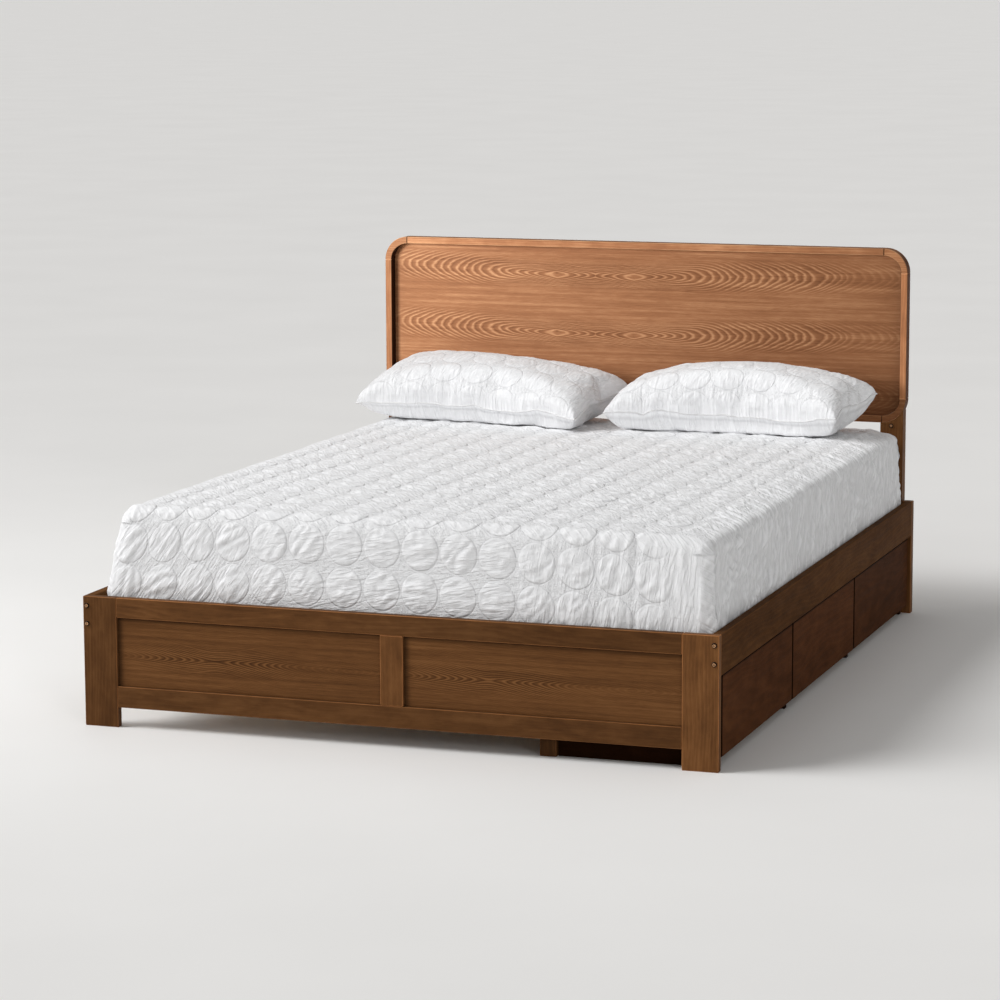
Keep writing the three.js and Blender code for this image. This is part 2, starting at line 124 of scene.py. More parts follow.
def grid_faces(numbers):
    """Quads between the neighbours in a grid of point numbers."""
    corners = [numbers[:-1, :-1], numbers[1:, :-1], numbers[1:, 1:], numbers[:-1, 1:]]
    return np.stack(corners, -1).reshape(-1, 4)


def grid_rim(nx, ny):
    """The places (i, j) round the edge of a grid with nx by ny faces, in order."""
    there = [(i, 0) for i in range(nx)] + [(nx, j) for j in range(ny)]
    return there + [(i, ny) for i in range(nx, 0, -1)] + [(0, j) for j in range(ny, 0, -1)]


def read_vectors(source, key="vector"):
    """The vectors of a mesh's vertex normals, of an attribute's data or of its vertices (key "co")."""
    values = np.empty(len(source) * 3, np.float32)
    source.foreach_get(key, values)
    return values.reshape(-1, 3).astype(float)


def read_points(mesh):
    return read_vectors(mesh.vertices, "co")


def configure(target, **settings):
    for name, value in settings.items():
        setattr(target, name, value)


def write_points(mesh, points):
    mesh.vertices.foreach_set("co", np.asarray(points, np.float32).ravel())
    mesh.update()


def make_piece(name, points, faces, material, smooth_shade=True):
    mesh = bpy.data.meshes.new(name)
    mesh.from_pydata([tuple(p) for p in points], [], [tuple(f) for f in faces])
    mesh.materials.append(material)
    mesh.polygons.foreach_set("use_smooth", [smooth_shade] * len(mesh.polygons))
    mesh.update()
    piece = bpy.data.objects.new(name, mesh)
    bpy.context.scene.collection.objects.link(piece)
    return piece


def edit_mesh(mesh, change):
    work = bmesh.new()
    work.from_mesh(mesh)
    change(work)
    work.to_mesh(mesh)
    work.free()


def face_outward(mesh):
    edit_mesh(mesh, lambda work: bmesh.ops.recalc_face_normals(work, faces=work.faces))


def crease(mesh, degrees=38):
    """Keeps edges sharper than this angle sharp in a smooth mesh."""
    def mark(work):
        for edge in work.edges:
            if len(edge.link_faces) == 2 and edge.calc_face_angle(0) > math.radians(degrees):
                edge.smooth = False
    edit_mesh(mesh, mark)


def add_attribute(mesh, name, values):
    attribute = mesh.attributes.new(name, "FLOAT_VECTOR", "POINT")
    attribute.data.foreach_set("vector", np.asarray(values, np.float32).ravel())


def relaxed(mesh, values, rounds):
    """Evens out values on a mesh's points: each round moves them half way to their neighbours' mean."""
    ends = np.empty(len(mesh.edges) * 2, int)
    mesh.edges.foreach_get("vertices", ends)
    first, second = ends.reshape(-1, 2).T
    links = np.bincount(ends, minlength=len(values))[:, None]
    for _ in range(rounds):
        total = [np.bincount(first, part[second], len(values)) + np.bincount(second, part[first], len(values))
                 for part in values.T]
        values = (values + np.stack(total, 1) / links) / 2
    return values


def mark_hollows(mesh, height, depth):
    """Stores how far each point lies below its surroundings, -1 to 1, as the attribute 'hollow', which darkens
    the cloth's colour there as painted shade.
    """
    below = relaxed(mesh, height[:, None], 8)[:, 0] - height
    add_attribute(mesh, "hollow", np.repeat(np.clip(below / depth, -1, 1)[:, None], 3, axis=1))


def apply_modifiers(piece):
    bpy.context.view_layer.update()
    done = piece.evaluated_get(bpy.context.evaluated_depsgraph_get())
    mesh = bpy.data.meshes.new_from_object(done)
    piece.modifiers.clear()
    piece.data = mesh


def settle(piece, frames, pressure, tension, bending, pin=None, rest=None):
    """Runs cloth on a piece with gravity off and leaves the result in its mesh."""
    cloth = piece.modifiers.new("cloth", "CLOTH")
    settings = cloth.settings
    configure(settings, quality=5, mass=0.3, tension_stiffness=tension, compression_stiffness=tension,
              shear_stiffness=tension / 3, bending_stiffness=bending, use_pressure=True,
              uniform_pressure_force=pressure, air_damping=3)
    settings.effector_weights.gravity = 0
    if pin:
        settings.vertex_group_mass = pin
    if rest:
        settings.rest_shape_key = piece.data.shape_keys.key_blocks[rest]
    cloth.point_cache.frame_end = frames
    scene = bpy.context.scene
    for step in range(1, frames + 1):
        scene.frame_set(step)
    done = piece.evaluated_get(bpy.context.evaluated_depsgraph_get())
    points = read_points(done.data)
    piece.modifiers.remove(cloth)
    if piece.data.shape_keys:
        piece.shape_key_clear()
    write_points(piece.data, points)
    scene.frame_set(1)
    return points


# ======== Shader helper ========
def srgb(red, green, blue):
    """A colour given in 0 to 255 steps, as linear light."""
    values = [c / 255 for c in (red, green, blue)]
    return [c / 12.92 if c <= 0.04045 else ((c + 0.055) / 1.055) ** 2.4 for c in values] + [1.0]


def operator(operation, swapped=False):
    """An arithmetic operator of Value that adds one math node."""
    if swapped:
        return lambda value, other: value.shader.math(operation, other, value)
    return lambda value, other: value.shader.math(operation, value, other)


class Value:
    """A number in a material's nodes. Arithmetic on it adds math nodes."""

    def __init__(self, shader, socket):
        self.shader = shader
        self.socket = socket

    def __abs__(self):
        return self.shader.math("ABSOLUTE", self)

    __add__ = __radd__ = operator("ADD")
    __mul__ = __rmul__ = operator("MULTIPLY")
    __sub__, __rsub__ = operator("SUBTRACT"), operator("SUBTRACT", swapped=True)
    __truediv__ = operator("DIVIDE")
    __pow__ = operator("POWER")


class Shader:
    """One material's nodes. Each method adds a node and returns its result."""

    def __init__(self, name):
        self.material = bpy.data.materials.new(name)
        self.material.use_nodes = True
        self.tree = self.material.node_tree
        self.surface = self.tree.nodes["Principled BSDF"]

    def add(self, kind, inputs=(), **settings):
        """A new node with its settings and inputs, each an (index or name, value) pair."""
        node = self.tree.nodes.new(f"ShaderNode{kind}")
        configure(node, **settings)
        for key, value in inputs:
            self.put(node.inputs[key], value)
        return node

    def put(self, socket, value):
        value = getattr(value, "socket", value)
        if isinstance(value, bpy.types.NodeSocket):
            self.tree.links.new(value, socket)
        else:
            socket.default_value = value

    def set(self, **values):
        for name, value in values.items():
            self.put(self.surface.inputs[name.replace("_", " ")], value)

    def place(self, output="Object"):
        return self.add("TexCoord").outputs[output]

    def attribute(self, name):
        return self.add("Attribute", attribute_name=name).outputs["Vector"]

    def math(self, operation, *values, clamp=False):
        node = self.add("Math", enumerate(values), operation=operation, use_clamp=clamp)
        return Value(self, node.outputs[0])

    def root(self, value):
        return self.math("SQRT", value)

    def largest(self, *values):
        result = values[0]
        for value in values[1:]:
            result = self.math("MAXIMUM", result, value)
        return result

    def blend(self, factor, first, second):
        """A number between two others: the first at factor 0, the second at 1."""
        return self.math("MULTIPLY_ADD", factor, second - first, first)

    def split(self, vector):
        return [Value(self, output) for output in self.add("SeparateXYZ", [(0, vector)]).outputs[:3]]

    def vector(self, x, y, z):
        return self.add("CombineXYZ", enumerate((x, y, z))).outputs[0]

    def scaled(self, parts, scales, shift=0.0):
        """A vector of three parts, each times its scale plus shift."""
        return self.vector(*[self.math("MULTIPLY_ADD", p, s, shift) for p, s in zip(parts, scales)])

    def noise(self, vector, scale=1.0, detail=2.0, roughness=0.5):
        inputs = {"Vector": vector, "Scale": scale, "Detail": detail, "Roughness": roughness}
        return Value(self, self.add("TexNoise", inputs.items()).outputs["Fac"])

    def swing(self, value, amount):
        """A 0 to 1 noise turned into a swing of plus or minus amount."""
        return self.math("MULTIPLY_ADD", value, 2 * amount, -amount)

    def rise(self, value, low, high, to_low=0.0, to_high=1.0):
        """A smooth step from to_low at low to to_high at high."""
        inputs = {"Value": value, "From Min": low, "From Max": high, "To Min": to_low, "To Max": to_high}
        return Value(self, self.add("MapRange", inputs.items(), interpolation_type="SMOOTHSTEP").outputs[0])

    def ramp(self, value, stops):
        node = self.add("ValToRGB", [(0, value)])
        elements = node.color_ramp.elements
        while len(elements) < len(stops):
            elements.new(0.5)
        for element, (position, colour) in zip(elements, stops):
            element.position = position
            element.color = colour
        return node.outputs[0]

    def mix(self, factor, first, second, mode="MIX"):
        node = self.add("Mix", data_type="RGBA", blend_type=mode)
        for index, value in zip((0, 6, 7), (factor, first, second)):
            self.put(node.inputs[index], value)
        return node.outputs[2]

    def darken(self, colour, shade):
        """The colour times a number."""
        return self.mix(1.0, colour, self.vector(shade, shade, shade), "MULTIPLY")

    def bump(self, height, distance, normal=None):
        node = self.add("Bump", [("Strength", 1.0), ("Distance", distance), ("Height", height)])
        if normal is not None:
            self.put(node.inputs["Normal"], normal)
        return node.outputs[0]


# ======== Wood ========
# Each finish: dark, middle and light, and the colour of its edges: partly wear, partly painted highlight. On
# drawer_wood the edge colour is near black, a painted shadow for the gaps round the drawer fronts.
FINISHES = {
    "walnut": (srgb(54, 33, 18), srgb(101, 66, 37), srgb(131, 90, 54), srgb(160, 107, 65)),
    "headboard_wood": (srgb(104, 64, 40), srgb(151, 101, 67), srgb(198, 146, 104), srgb(206, 156, 114)),
    "drawer_wood": (srgb(46, 26, 14), srgb(82, 49, 28), srgb(104, 65, 39), srgb(16, 9, 5)),
    "box_wood": (srgb(160, 124, 86), srgb(196, 162, 120), srgb(216, 186, 146), srgb(214, 184, 144)),
    "slat_wood": (srgb(170, 132, 92), srgb(204, 168, 124), srgb(222, 192, 152), srgb(220, 190, 150)),
}
# How light each board is, where that differs from its finish. The drawer dividers and the foot-end beam leg,
# seen in the shadow under the bed, are darkened as painted shade.
TONES_AND_PAINTED_SHADE = {"side_rail_left": 0.66, "side_rail_right": 0.66, "rear_rail": 0.75, "foot_post_left": 0.72,
          "foot_post_right": 1.20, "foot_middle_stile": 1.08, "foot_bottom_rail": 0.74,
          "drawer_beam_leg_foot": 0.5, "drawer_head_front": 0.82, "headboard_stile_right": 1.85,
          "headboard_top_rail": 1.2, "headboard_corner_top_right": 1.25,
          **{f"drawer_divider_{number}": 0.18 for number in (1, 2, 3, 4)}}
# A board whose stain changes along the bed's width, from its left end to its right end.
FADING = {"foot_top_rail": (0.96, 0.70)}
# Boards whose lacquer is dull: seen along their length they must not turn grey.
DULL = ("side_rail_left", "side_rail_right", "drawer_foot_front", "drawer_middle_front", "drawer_head_front",
        "drawer_divider_1", "drawer_divider_2", "drawer_divider_3", "drawer_divider_4")


def edge_mask(s, round_axis):
    """1 on chamfers between faces that lie along the axes, 0 on the faces themselves."""
    across, along, up = [abs(part) for part in s.split(s.place("Normal"))]
    if round_axis:
        largest = s.largest(along, s.root(s.math("SUBTRACT", 1.0, along ** 2.0, clamp=True)))
    else:
        largest = s.largest(across, along, up)
    return s.rise(1.0 - largest, 0.02, 0.26)


def log_rings(s, along, across, depth, seed):
    """Flowing growth rings of a board sawn from near the edge of a log, and how strong they are."""
    spacing = 5.5 * MM
    wander = s.noise(s.scaled((along, across, depth), (1.6, 5.0, 5.0), seed), detail=2)
    off_centre = 0.05 + 0.07 * ((seed * 0.37) % 1)
    radius = s.root((across + off_centre) ** 2.0 + (depth + s.swing(wander, 0.035)) ** 2.0)
    strength = 0.14
    return s.math("FRACT", radius / spacing), strength


def nested_rings(s, way, along, middle, seed, spacing, fade):
    """Uneven rings at steps of a way, and how strong they are: they fade off the figure's middle line."""
    wobble = s.noise(s.scaled((along, middle, seed), (16.0, 60.0, 1.0)), detail=3, roughness=0.55)
    uneven = s.noise(s.vector(way / (3.2 * spacing), seed, 0.0), detail=1)
    uneven = s.swing(uneven, 0.9) * s.rise(way, 2 * spacing, 4 * spacing, 0.1, 1.0)
    phase = way / spacing + uneven + s.swing(wobble, 0.45)
    return s.math("FRACT", phase), s.rise(abs(middle), *fade)


def off_middle(s, middle, bluntness):
    """The distance off the middle line, rounded at the line itself."""
    return s.root(middle ** 2.0 + bluntness * bluntness) - bluntness


def headboard_figure(s, along, across, depth, seed):
    """Two eyes in every strip of veneer, with arcs nested around both that rise towards the ends."""
    eyes = (-0.264, -0.026)
    core = 0.070
    strip = 0.1725
    first_row = 0.950
    climbs = (0.045, 0.022)
    row = s.math("WRAP", across - first_row, strip / 2, -strip / 2)
    side = s.math("MINIMUM", *[abs(along - eye) for eye in eyes])
    beyond = [s.largest(far, 0.0) * climb for far, climb in zip((eyes[0] - along, along - eyes[1]), climbs)]
    middle = row - (beyond[0] + beyond[1])
    slimness = s.rise(side, 0.07, 0.26, 8.0, 4.3)
    bluntness = s.rise(side, 0.07, 0.28, 9 * MM, 40 * MM)
    way = side + slimness * off_middle(s, middle, bluntness)
    way_out = s.root(way ** 2.0 + core ** 2) + 7 * MM
    rings, strength = nested_rings(s, way_out, along, middle, seed, 25 * MM, (0.026, 0.052, 0.72, 0.05))
    ends = s.rise(along, 0.50, 0.66, 1.0, 0.3) * s.rise(along, -0.79, -0.72)
    return rings, strength * ends


def footboard_figure(s, along, across, depth, seed):
    """Two sets of arches that point at each other, the same on both panels, in fine straight grain."""
    repeat = 0.7115
    neck_x = -0.465
    slimness = 5.0
    row_z = 0.181
    side = s.math("WRAP", along - neck_x, repeat / 2, -repeat / 2)
    middle = across - row_z
    way = slimness * off_middle(s, middle, 6 * MM) - off_middle(s, side, 0.03)
    rings, strength = nested_rings(s, way, along, middle, seed, 21 * MM, (0.015, 0.045, 0.75, 0.16))
    return rings, strength * s.rise(abs(side), 0.12, 0.25, 1.0, 0.2)


def painted_recess_shade(node):
    """Painted shadow in recesses and gaps: the axis across a corner, the corner's place, its reach, how light
    it is.
    """
    # Foot panels: painted shadow along the left edge and under the top rail. Drawer fronts: painted shadow
    # under the rail and at both ends.
    if node.startswith("foot_panel"):
        beside = "foot_post_left" if node.endswith("left") else "foot_middle_stile"
        return [(0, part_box(beside)[1].x, 20 * MM, 0.40), (2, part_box("foot_top_rail")[0].z, -13 * MM, 0.45)]
    if node.endswith("_front"):
        low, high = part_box(node)
        return [(2, high.z, -7 * MM, 0.12), (1, low.y, 6 * MM, 0.20), (1, high.y, -4 * MM, 0.35)]
    return []


def painted_side_shade(s, colour, x):
    """Painted shade on the headboard frame's outer and inner edges, which face along the bed's width; the
    inner ones are darker.
    """
    facing = s.split(s.place("Normal"))[0] * s.math("SIGN", x)
    colour = s.mix(s.rise(facing, 0.30, 0.90), colour, srgb(92, 52, 26))
    return s.mix(s.rise(facing * -1.0, 0.25, 0.80), colour, srgb(46, 24, 12))


def wood(node, slot, seed, figure=None):
    """Stained, lacquered wood for one board, with its grain along the board."""
    gloss, edge_wear_and_light = (0.004, 0.3) if node in DULL else (0.04, 1.0)
    s = Shader(f"{slot}_{node}")
    x, y, z = s.split(s.place())
    parts = {"X": (x, z, y), "Y": (y, z, x), "Z": (z, x, y)}[grain_axis(node)]
    grain = lambda along, across, **how: s.noise(s.scaled(parts, (along, across, across), seed), **how)
    clouds = grain(1.7, 7.0, detail=3)
    mottle = grain(13.0, 26.0, detail=3, roughness=0.6)
    streaks = grain(2.6, 110.0, detail=4, roughness=0.62)
    fibres = grain(26.0, 820.0, detail=3, roughness=0.6)
    pores = s.rise(s.noise(s.scaled(parts, (34.0, 1500.0, 1500.0), seed + 5), detail=1), 0.60, 0.74)
    rings, strength = (figure or log_rings)(s, *parts, seed)
    line = rings ** 2.2 * s.rise(rings, 0.90, 0.99, 1.0, 0.0) * strength
    stroke = s.rise(rings, 0.02, 0.16) * s.rise(rings, 0.24, 0.52, 1.0, 0.0) * strength

    line_depth, swings = (0.46, (0.14, 0.36, 0.24, 0.08)) if figure else (0.42, (0.24, 0.20, 0.12, 0.28))
    tone = 0.54 - line * line_depth + stroke * 0.38
    for pattern, amount in zip((clouds, streaks, fibres, mottle), swings):
        tone = tone + s.swing(pattern, amount)
    tone = s.math("SUBTRACT", tone, pores * 0.14, clamp=True)
    # The board's own tone; for the under-bed dividers and leg, painted shade.
    tone_and_shade = TONES_AND_PAINTED_SHADE.get(node, 1.0)
    dark, mid, light, edge = [[part * tone_and_shade for part in paint[:3]] + [1.0] for paint in FINISHES[slot]]
    colour = s.ramp(tone, [(0.06, dark), (0.52, mid), (0.94, light)])
    if node in FADING:
        colour = s.darken(colour, s.rise(x, -0.45, 0.25, *FADING[node]))
    # Painted shadow in the panels' recesses and in the gaps round the drawer fronts, darkest at the corner.
    for across, corner, reach, least in painted_recess_shade(node):
        colour = s.darken(colour, s.rise((x, y, z)[across], corner, corner + reach, least, 1.0))
    # Edges take the finish's edge colour: partly wear and partly painted highlight, and on drawer_wood painted
    # shadow.
    rub = s.noise(s.scaled((x, y, z), (14.0, 14.0, 14.0), seed), detail=3)
    edge_wear_and_light_mask = edge_mask(s, node.startswith("headboard_corner")) * s.rise(rub, 0.30, 0.62, 0.45 * edge_wear_and_light, edge_wear_and_light)
    colour = s.mix(edge_wear_and_light_mask, colour, edge)
    # Painted shade on the headboard frame's faces that point along the bed's width.
    if slot == "headboard_wood" and not figure:
        colour = painted_side_shade(s, colour, x)

    rough = s.swing(streaks, 0.10) + 0.48 + pores * 0.16 - line * 0.05
    relief = s.bump(1.0 - line, 0.15 * MM, s.bump(fibres, 0.12 * MM))
    hollows = s.bump(1.0 - pores, 0.10 * MM, relief)
    s.set(Base_Color=colour, Roughness=rough, Normal=hollows, Specular_IOR_Level=gloss)
    return s.material


def wood_slot(node):
    """The finish of a wooden CAD node, from its name."""
    if node.startswith("headboard_") and "leg" not in node:
        return "headboard_wood"
    if node.startswith("drawer_divider") or node.endswith("_front"):
        return "drawer_wood"
    if node.startswith(tuple(f"drawer_{name}_" for name in BODIES)):
        return "box_wood"
    if node in ("slat_roll", "drawer_beam", "centre_beam") or node.startswith("slat_ledger"):
        return "slat_wood"
    return "walnut"


def grain_axis(node):
    """Grain runs along a board's longest side; the slats run across the bed."""
    if node == "slat_roll":
        return "X"
    low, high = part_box(node)
    return "XYZ"[int(np.argmax(high - low))]


def finish_boards():
    figures = {"headboard_panel": headboard_figure, "foot_panel_left": footboard_figure,
               "foot_panel_right": footboard_figure}
    skipped = ("bolt", "mattress", "pillow")
    boards = [n for n in sorted(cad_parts) if not any(word in n for word in skipped)]
    for index, node in enumerate(boards):
        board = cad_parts[node]
        slot = wood_slot(node)
        board.data.materials.clear()
        board.data.materials.append(wood(node, slot, 1.7 + index * 2.618, figures.get(node)))
        soften_edges(board)


def soften_edges(board):
    """Rounds a board's chamfers a little, by modifiers only."""
    board.modifiers.new("weld", "WELD").merge_threshold = 0.01 * MM
    configure(board.modifiers.new("soft_edges", "BEVEL"), width=0.5 * MM, segments=2,
              limit_method="ANGLE", angle_limit=math.radians(30), harden_normals=True)


# ======== Metal ========
def bronze():
    s = Shader("bronzed_steel")
    patches = s.noise(s.place(), 260.0, 3)
    scratches = s.noise(s.place(), 1900.0, 2)
    # Painted highlight and shade: only the flat middle of each head gets the bright colour, as a glint, and
    # the sloping rim stays near black, as the shadow of the recess round the head.
    crown = s.rise(s.largest(*[abs(part) for part in s.split(s.place("Normal"))]), 0.93, 0.985)
    bright = s.rise(patches + s.swing(scratches, 0.15), 0.40, 0.66, 0.45, 1.0) * crown
    colour = s.mix(bright, srgb(20, 12, 8), srgb(232, 178, 132))
    s.set(Base_Color=colour, Roughness=patches * 0.16 + 0.20, Metallic=0.92,
          Normal=s.bump(scratches, 0.02 * MM))
    return s.material


def zinc():
    s = Shader("zinc_plate")
    crystals = s.noise(s.place(), 420.0, 4, 0.65)
    colour = s.mix(crystals, srgb(126, 128, 130), srgb(182, 184, 186))
    s.set(Base_Color=colour, Roughness=crystals * 0.22 + 0.30, Metallic=0.95,
          Normal=s.bump(crystals, 0.03 * MM))
    return s.material


def turned(profile, turns=36):
    """Points and faces of rings (radius, height, is_hexagonal) joined in order, closed at both ends."""
    angles = np.arange(turns) * 2 * math.pi / turns
    sixth = math.pi / 3
    hexagon = math.cos(sixth / 2) / np.cos(angles % sixth - sixth / 2)
    points = []
    for radius, height, hexagonal in profile:
        reach = radius * (hexagon if hexagonal else np.ones(turns))
        points += [(r * math.cos(a), r * math.sin(a), height) for r, a in zip(reach, angles)]
    rings = np.arange(len(points)).reshape(-1, turns)
    faces = [tuple(face) for face in grid_faces(np.pad(rings, ((0, 0), (0, 1)), "wrap"))]
    return points, faces + [tuple(rings[0, ::-1]), tuple(rings[-1])]


def dome_profile(head_radius, head_height, shank_radius, length, socket_radius):
    """From the socket's floor, over the domed head and down the shank. Height 0 is under the head."""
    rim = 0.25 * head_height
    crown = socket_radius * 1.22
    rings = [(socket_radius, 0.36 * head_height, True), (socket_radius, 0.93 * head_height, True),
             (crown, head_height, False)]
    for step in range(1, 7):
        turn = step / 6 * math.pi / 2
        rings.append((crown + (head_radius - crown) * math.sin(turn),
                      rim + (head_height - rim) * math.cos(turn), False))
    rings += [(head_radius, 0.1 * head_height, False), (head_radius * 0.96, 0.0, False),
              (shank_radius, 0.0, False), (shank_radius, -length, False)]
    return rings


def turn_to(direction, at):
    """The transform that takes +Z to direction and the origin to a point."""
    return Matrix.Translation(Vector(at)) @ Vector(direction).to_track_quat("Z", "Y").to_matrix().to_4x4()


def fasteners(name, profile, places, material, body="root", replaced=()):
    """One piece holding the same turned fastener at several places, each (point, outward direction)."""
    shape, faces = turned(profile)
    points = []
    all_faces = []
    for at, direction in places:
        matrix = turn_to(direction, at)
        start = len(points)
        points += [matrix @ Vector(p) for p in shape]
        all_faces += [tuple(start + index for index in face) for face in faces]
    piece = make_piece(name, points, all_faces, material)
    face_outward(piece.data)
    crease(piece.data)
    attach(piece, body)
    if replaced:
        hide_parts(*replaced)
    return piece


def add_bolts(metal):
    """Turned bolts in place of the plain ones, and two more through each rear post."""
    head = 6.5 * MM
    head_height = 3.5 * MM
    gap = 0.3 * MM
    bolt = lambda length: dome_profile(head, head_height, 3 * MM, length, 2.2 * MM)
    for node in sorted(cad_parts):
        if "bolt" not in node:
            continue
        low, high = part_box(node)
        at = ((low.x + high.x) / 2, low.y + head_height, (low.z + high.z) / 2)
        profile = bolt(high.y - low.y - head_height)
        fasteners(f"{node}_turned", profile, [(at, (0, -1, 0))], metal, replaced=[node])
    heights = [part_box(f"foot_bolt_{level}_left")[0].z + head for level in ("lower", "upper")]
    for word in ("left", "right"):
        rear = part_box(f"rear_post_{word}")[1].y
        low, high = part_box(f"foot_bolt_upper_{word}")
        places = [(((low.x + high.x) / 2, rear + gap, z), (0, 1, 0)) for z in heights]
        fasteners(f"rear_bolts_{word}", bolt(2 * gap), places, metal)


def add_ledger_screws(metal):
    """Countersunk screws along each ledger, into the side rail."""
    count = 8
    margin = 0.09
    profile = dome_profile(4.2 * MM, 1.4 * MM, 2 * MM, 0.6 * MM, 1.2 * MM)
    for word, inward in (("left", 1), ("right", -1)):
        low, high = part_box(f"slat_ledger_{word}")
        x = high.x if inward > 0 else low.x
        ys = np.linspace(low.y + margin, high.y - margin, count)
        places = [((x, y, low.z + 9 * MM), (inward, 0, 0)) for y in ys]
        fasteners(f"ledger_screws_{word}", profile, places, metal)


def add_brackets(plate):
    """A folded steel angle between each beam leg and the beam's underside, with its screws."""
    reach = 32 * MM
    width = 26 * MM
    thickness = 2 * MM
    bend = 2.5 * MM
    screw_from_bend = 20 * MM
    screw_off_middle = 8 * MM
    screw = dome_profile(3.6 * MM, 1.2 * MM, 1.8 * MM, 0.5 * MM, 1.1 * MM)
    legs = {"drawer_beam_leg_foot": 1, "drawer_beam_leg_head": -1,
            "centre_beam_leg_1": 1, "centre_beam_leg_2": -1}
    for node, away in legs.items():
        low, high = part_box(node)
        x = (low.x + high.x) / 2
        face = high.y if away > 0 else low.y
        top = high.z
        section = [(0, -reach), (0, -bend), (bend * 0.3, -bend * 0.3), (bend, 0), (reach, 0),
                   (reach, -thickness), (bend + thickness * 0.4, -thickness),
                   (thickness, -bend - thickness * 0.4), (thickness, -reach)]
        points = [(x + side * width / 2, face + away * y, top + z) for side in (-1, 1) for y, z in section]
        count = len(section)
        faces = [tuple(range(count)), tuple(range(count, 2 * count))[::-1]]
        faces += [(k, (k + 1) % count, count + (k + 1) % count, count + k) for k in range(count)]
        piece = make_piece(f"{node}_bracket", points, faces, plate, smooth_shade=False)
        face_outward(piece.data)
        configure(piece.modifiers.new("rounded", "BEVEL"), width=0.4 * MM, segments=2)
        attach(piece, "root")
        sides = (x - screw_off_middle, x + screw_off_middle)
        places = [((x, face + away * thickness, top - screw_from_bend), (0, away, 0)) for x in sides]
        places += [((x, face + away * screw_from_bend, top - thickness), (0, 0, -1)) for x in sides]
        fasteners(f"{node}_screws", screw, places, plate)


def add_drawer_fittings(plate):
    """Two cam locks in each drawer side, just behind the front, and screws in the drawer's back."""
    cam = [(2.2 * MM, 0.1 * MM, True), (2.2 * MM, 0.7 * MM, True), (2.8 * MM, 0.9 * MM, False),
           (6.8 * MM, 0.9 * MM, False), (7.5 * MM, 0.4 * MM, False), (7.5 * MM, 0.0, False)]
    screw = dome_profile(4 * MM, 1.3 * MM, 2 * MM, 0.5 * MM, 1.2 * MM)
    set_back = 34 * MM
    for name, body in BODIES.items():
        places = []
        for side, inward in (("foot", 1), ("head", -1)):
            low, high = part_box(f"drawer_{name}_side_{side}")
            y = high.y if inward > 0 else low.y
            places += [((high.x - set_back, y, z), (0, inward, 0)) for z in (low.z + 0.045, high.z - 0.03)]
        fasteners(f"drawer_{name}_cams", cam, places, plate, body)
        low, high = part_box(f"drawer_{name}_back")
        points = [((low.x, y, z), (-1, 0, 0)) for y in np.linspace(low.y + 0.04, high.y - 0.04, 4)
                  for z in (low.z + 0.03, high.z - 0.03)]
        fasteners(f"drawer_{name}_back_screws", screw, points, plate, body)


# ======== Cloth surfaces ========
def crumple_lines(s, at):
    """Thin crease lines: where a smooth noise crosses its middle value."""
    off = abs(s.noise(at, 34.0, 2.0, 0.5) - 0.5)
    patchy = s.rise(s.noise(at, 9.0, 1.0), 0.42, 0.60)
    return s.rise(off, 0.0, 0.035, 1.0, 0.0) * patchy


def wrinkles(s, cloth_s, cloth_t, turn, shortness=15.0):
    """Long thin wrinkles along a direction over the cloth, sharp in their valleys."""
    along, across = rotated(cloth_s, cloth_t, turn)
    field = s.noise(s.scaled((along, across, 0.0), (shortness, 78.0, 0.0)), detail=2.5, roughness=0.5)
    return s.rise(abs(field - 0.5), 0.0, 0.16)


def mattress_wrinkles(s, x, z, cloth_s, cloth_t):
    """Wrinkles that run one way on the top, another on the sides, and three ways across the foot face."""
    turns = (0.95, 0.20, 1.40, -0.85)
    slanting, level, upright, top = [wrinkles(s, cloth_s, cloth_t, turn) for turn in turns]
    side = wrinkles(s, cloth_s, cloth_t, -0.35, shortness=5.0)
    folded = s.blend(s.rise(x, -0.50, -0.20), slanting, level)
    folded = s.blend(s.rise(x, 0.22, 0.42), folded, upright)
    folded = s.blend(s.rise(z, 0.500, 0.535), folded, top)
    return s.blend(s.rise(abs(x), 0.745, 0.772), folded, side)


def stitching(s, cloth_s, cloth_t, amount):
    """The stitched circles: each one's groove and thread, the puff's shoulder and the gap between circles."""
    local = [s.math("WRAP", value, PITCH / 2, -PITCH / 2) for value in (cloth_s, cloth_t)]
    off_line = s.root(local[0] ** 2.0 + local[1] ** 2.0) - STITCH_RADIUS
    groove = s.rise(abs(off_line), 0.2 * MM, 1.8 * MM, 1.0, 0.0) * amount
    shoulder = s.rise(off_line, -5 * MM, 0.5 * MM, 1.0, 0.0) * amount
    stitches = s.math("FRACT", s.math("ARCTAN2", local[1], local[0]) * (STITCH_RADIUS / STITCH_LENGTH))
    on_stitch = s.rise(s.math("PINGPONG", stitches, 0.5), 0.10, 0.20)
    thread = s.rise(abs(off_line), 0.25 * MM, 0.55 * MM, 1.0, 0.0) * on_stitch * amount
    gap = s.rise(off_line, 1.5 * MM, 4.0 * MM) * amount
    return groove, shoulder, thread, gap


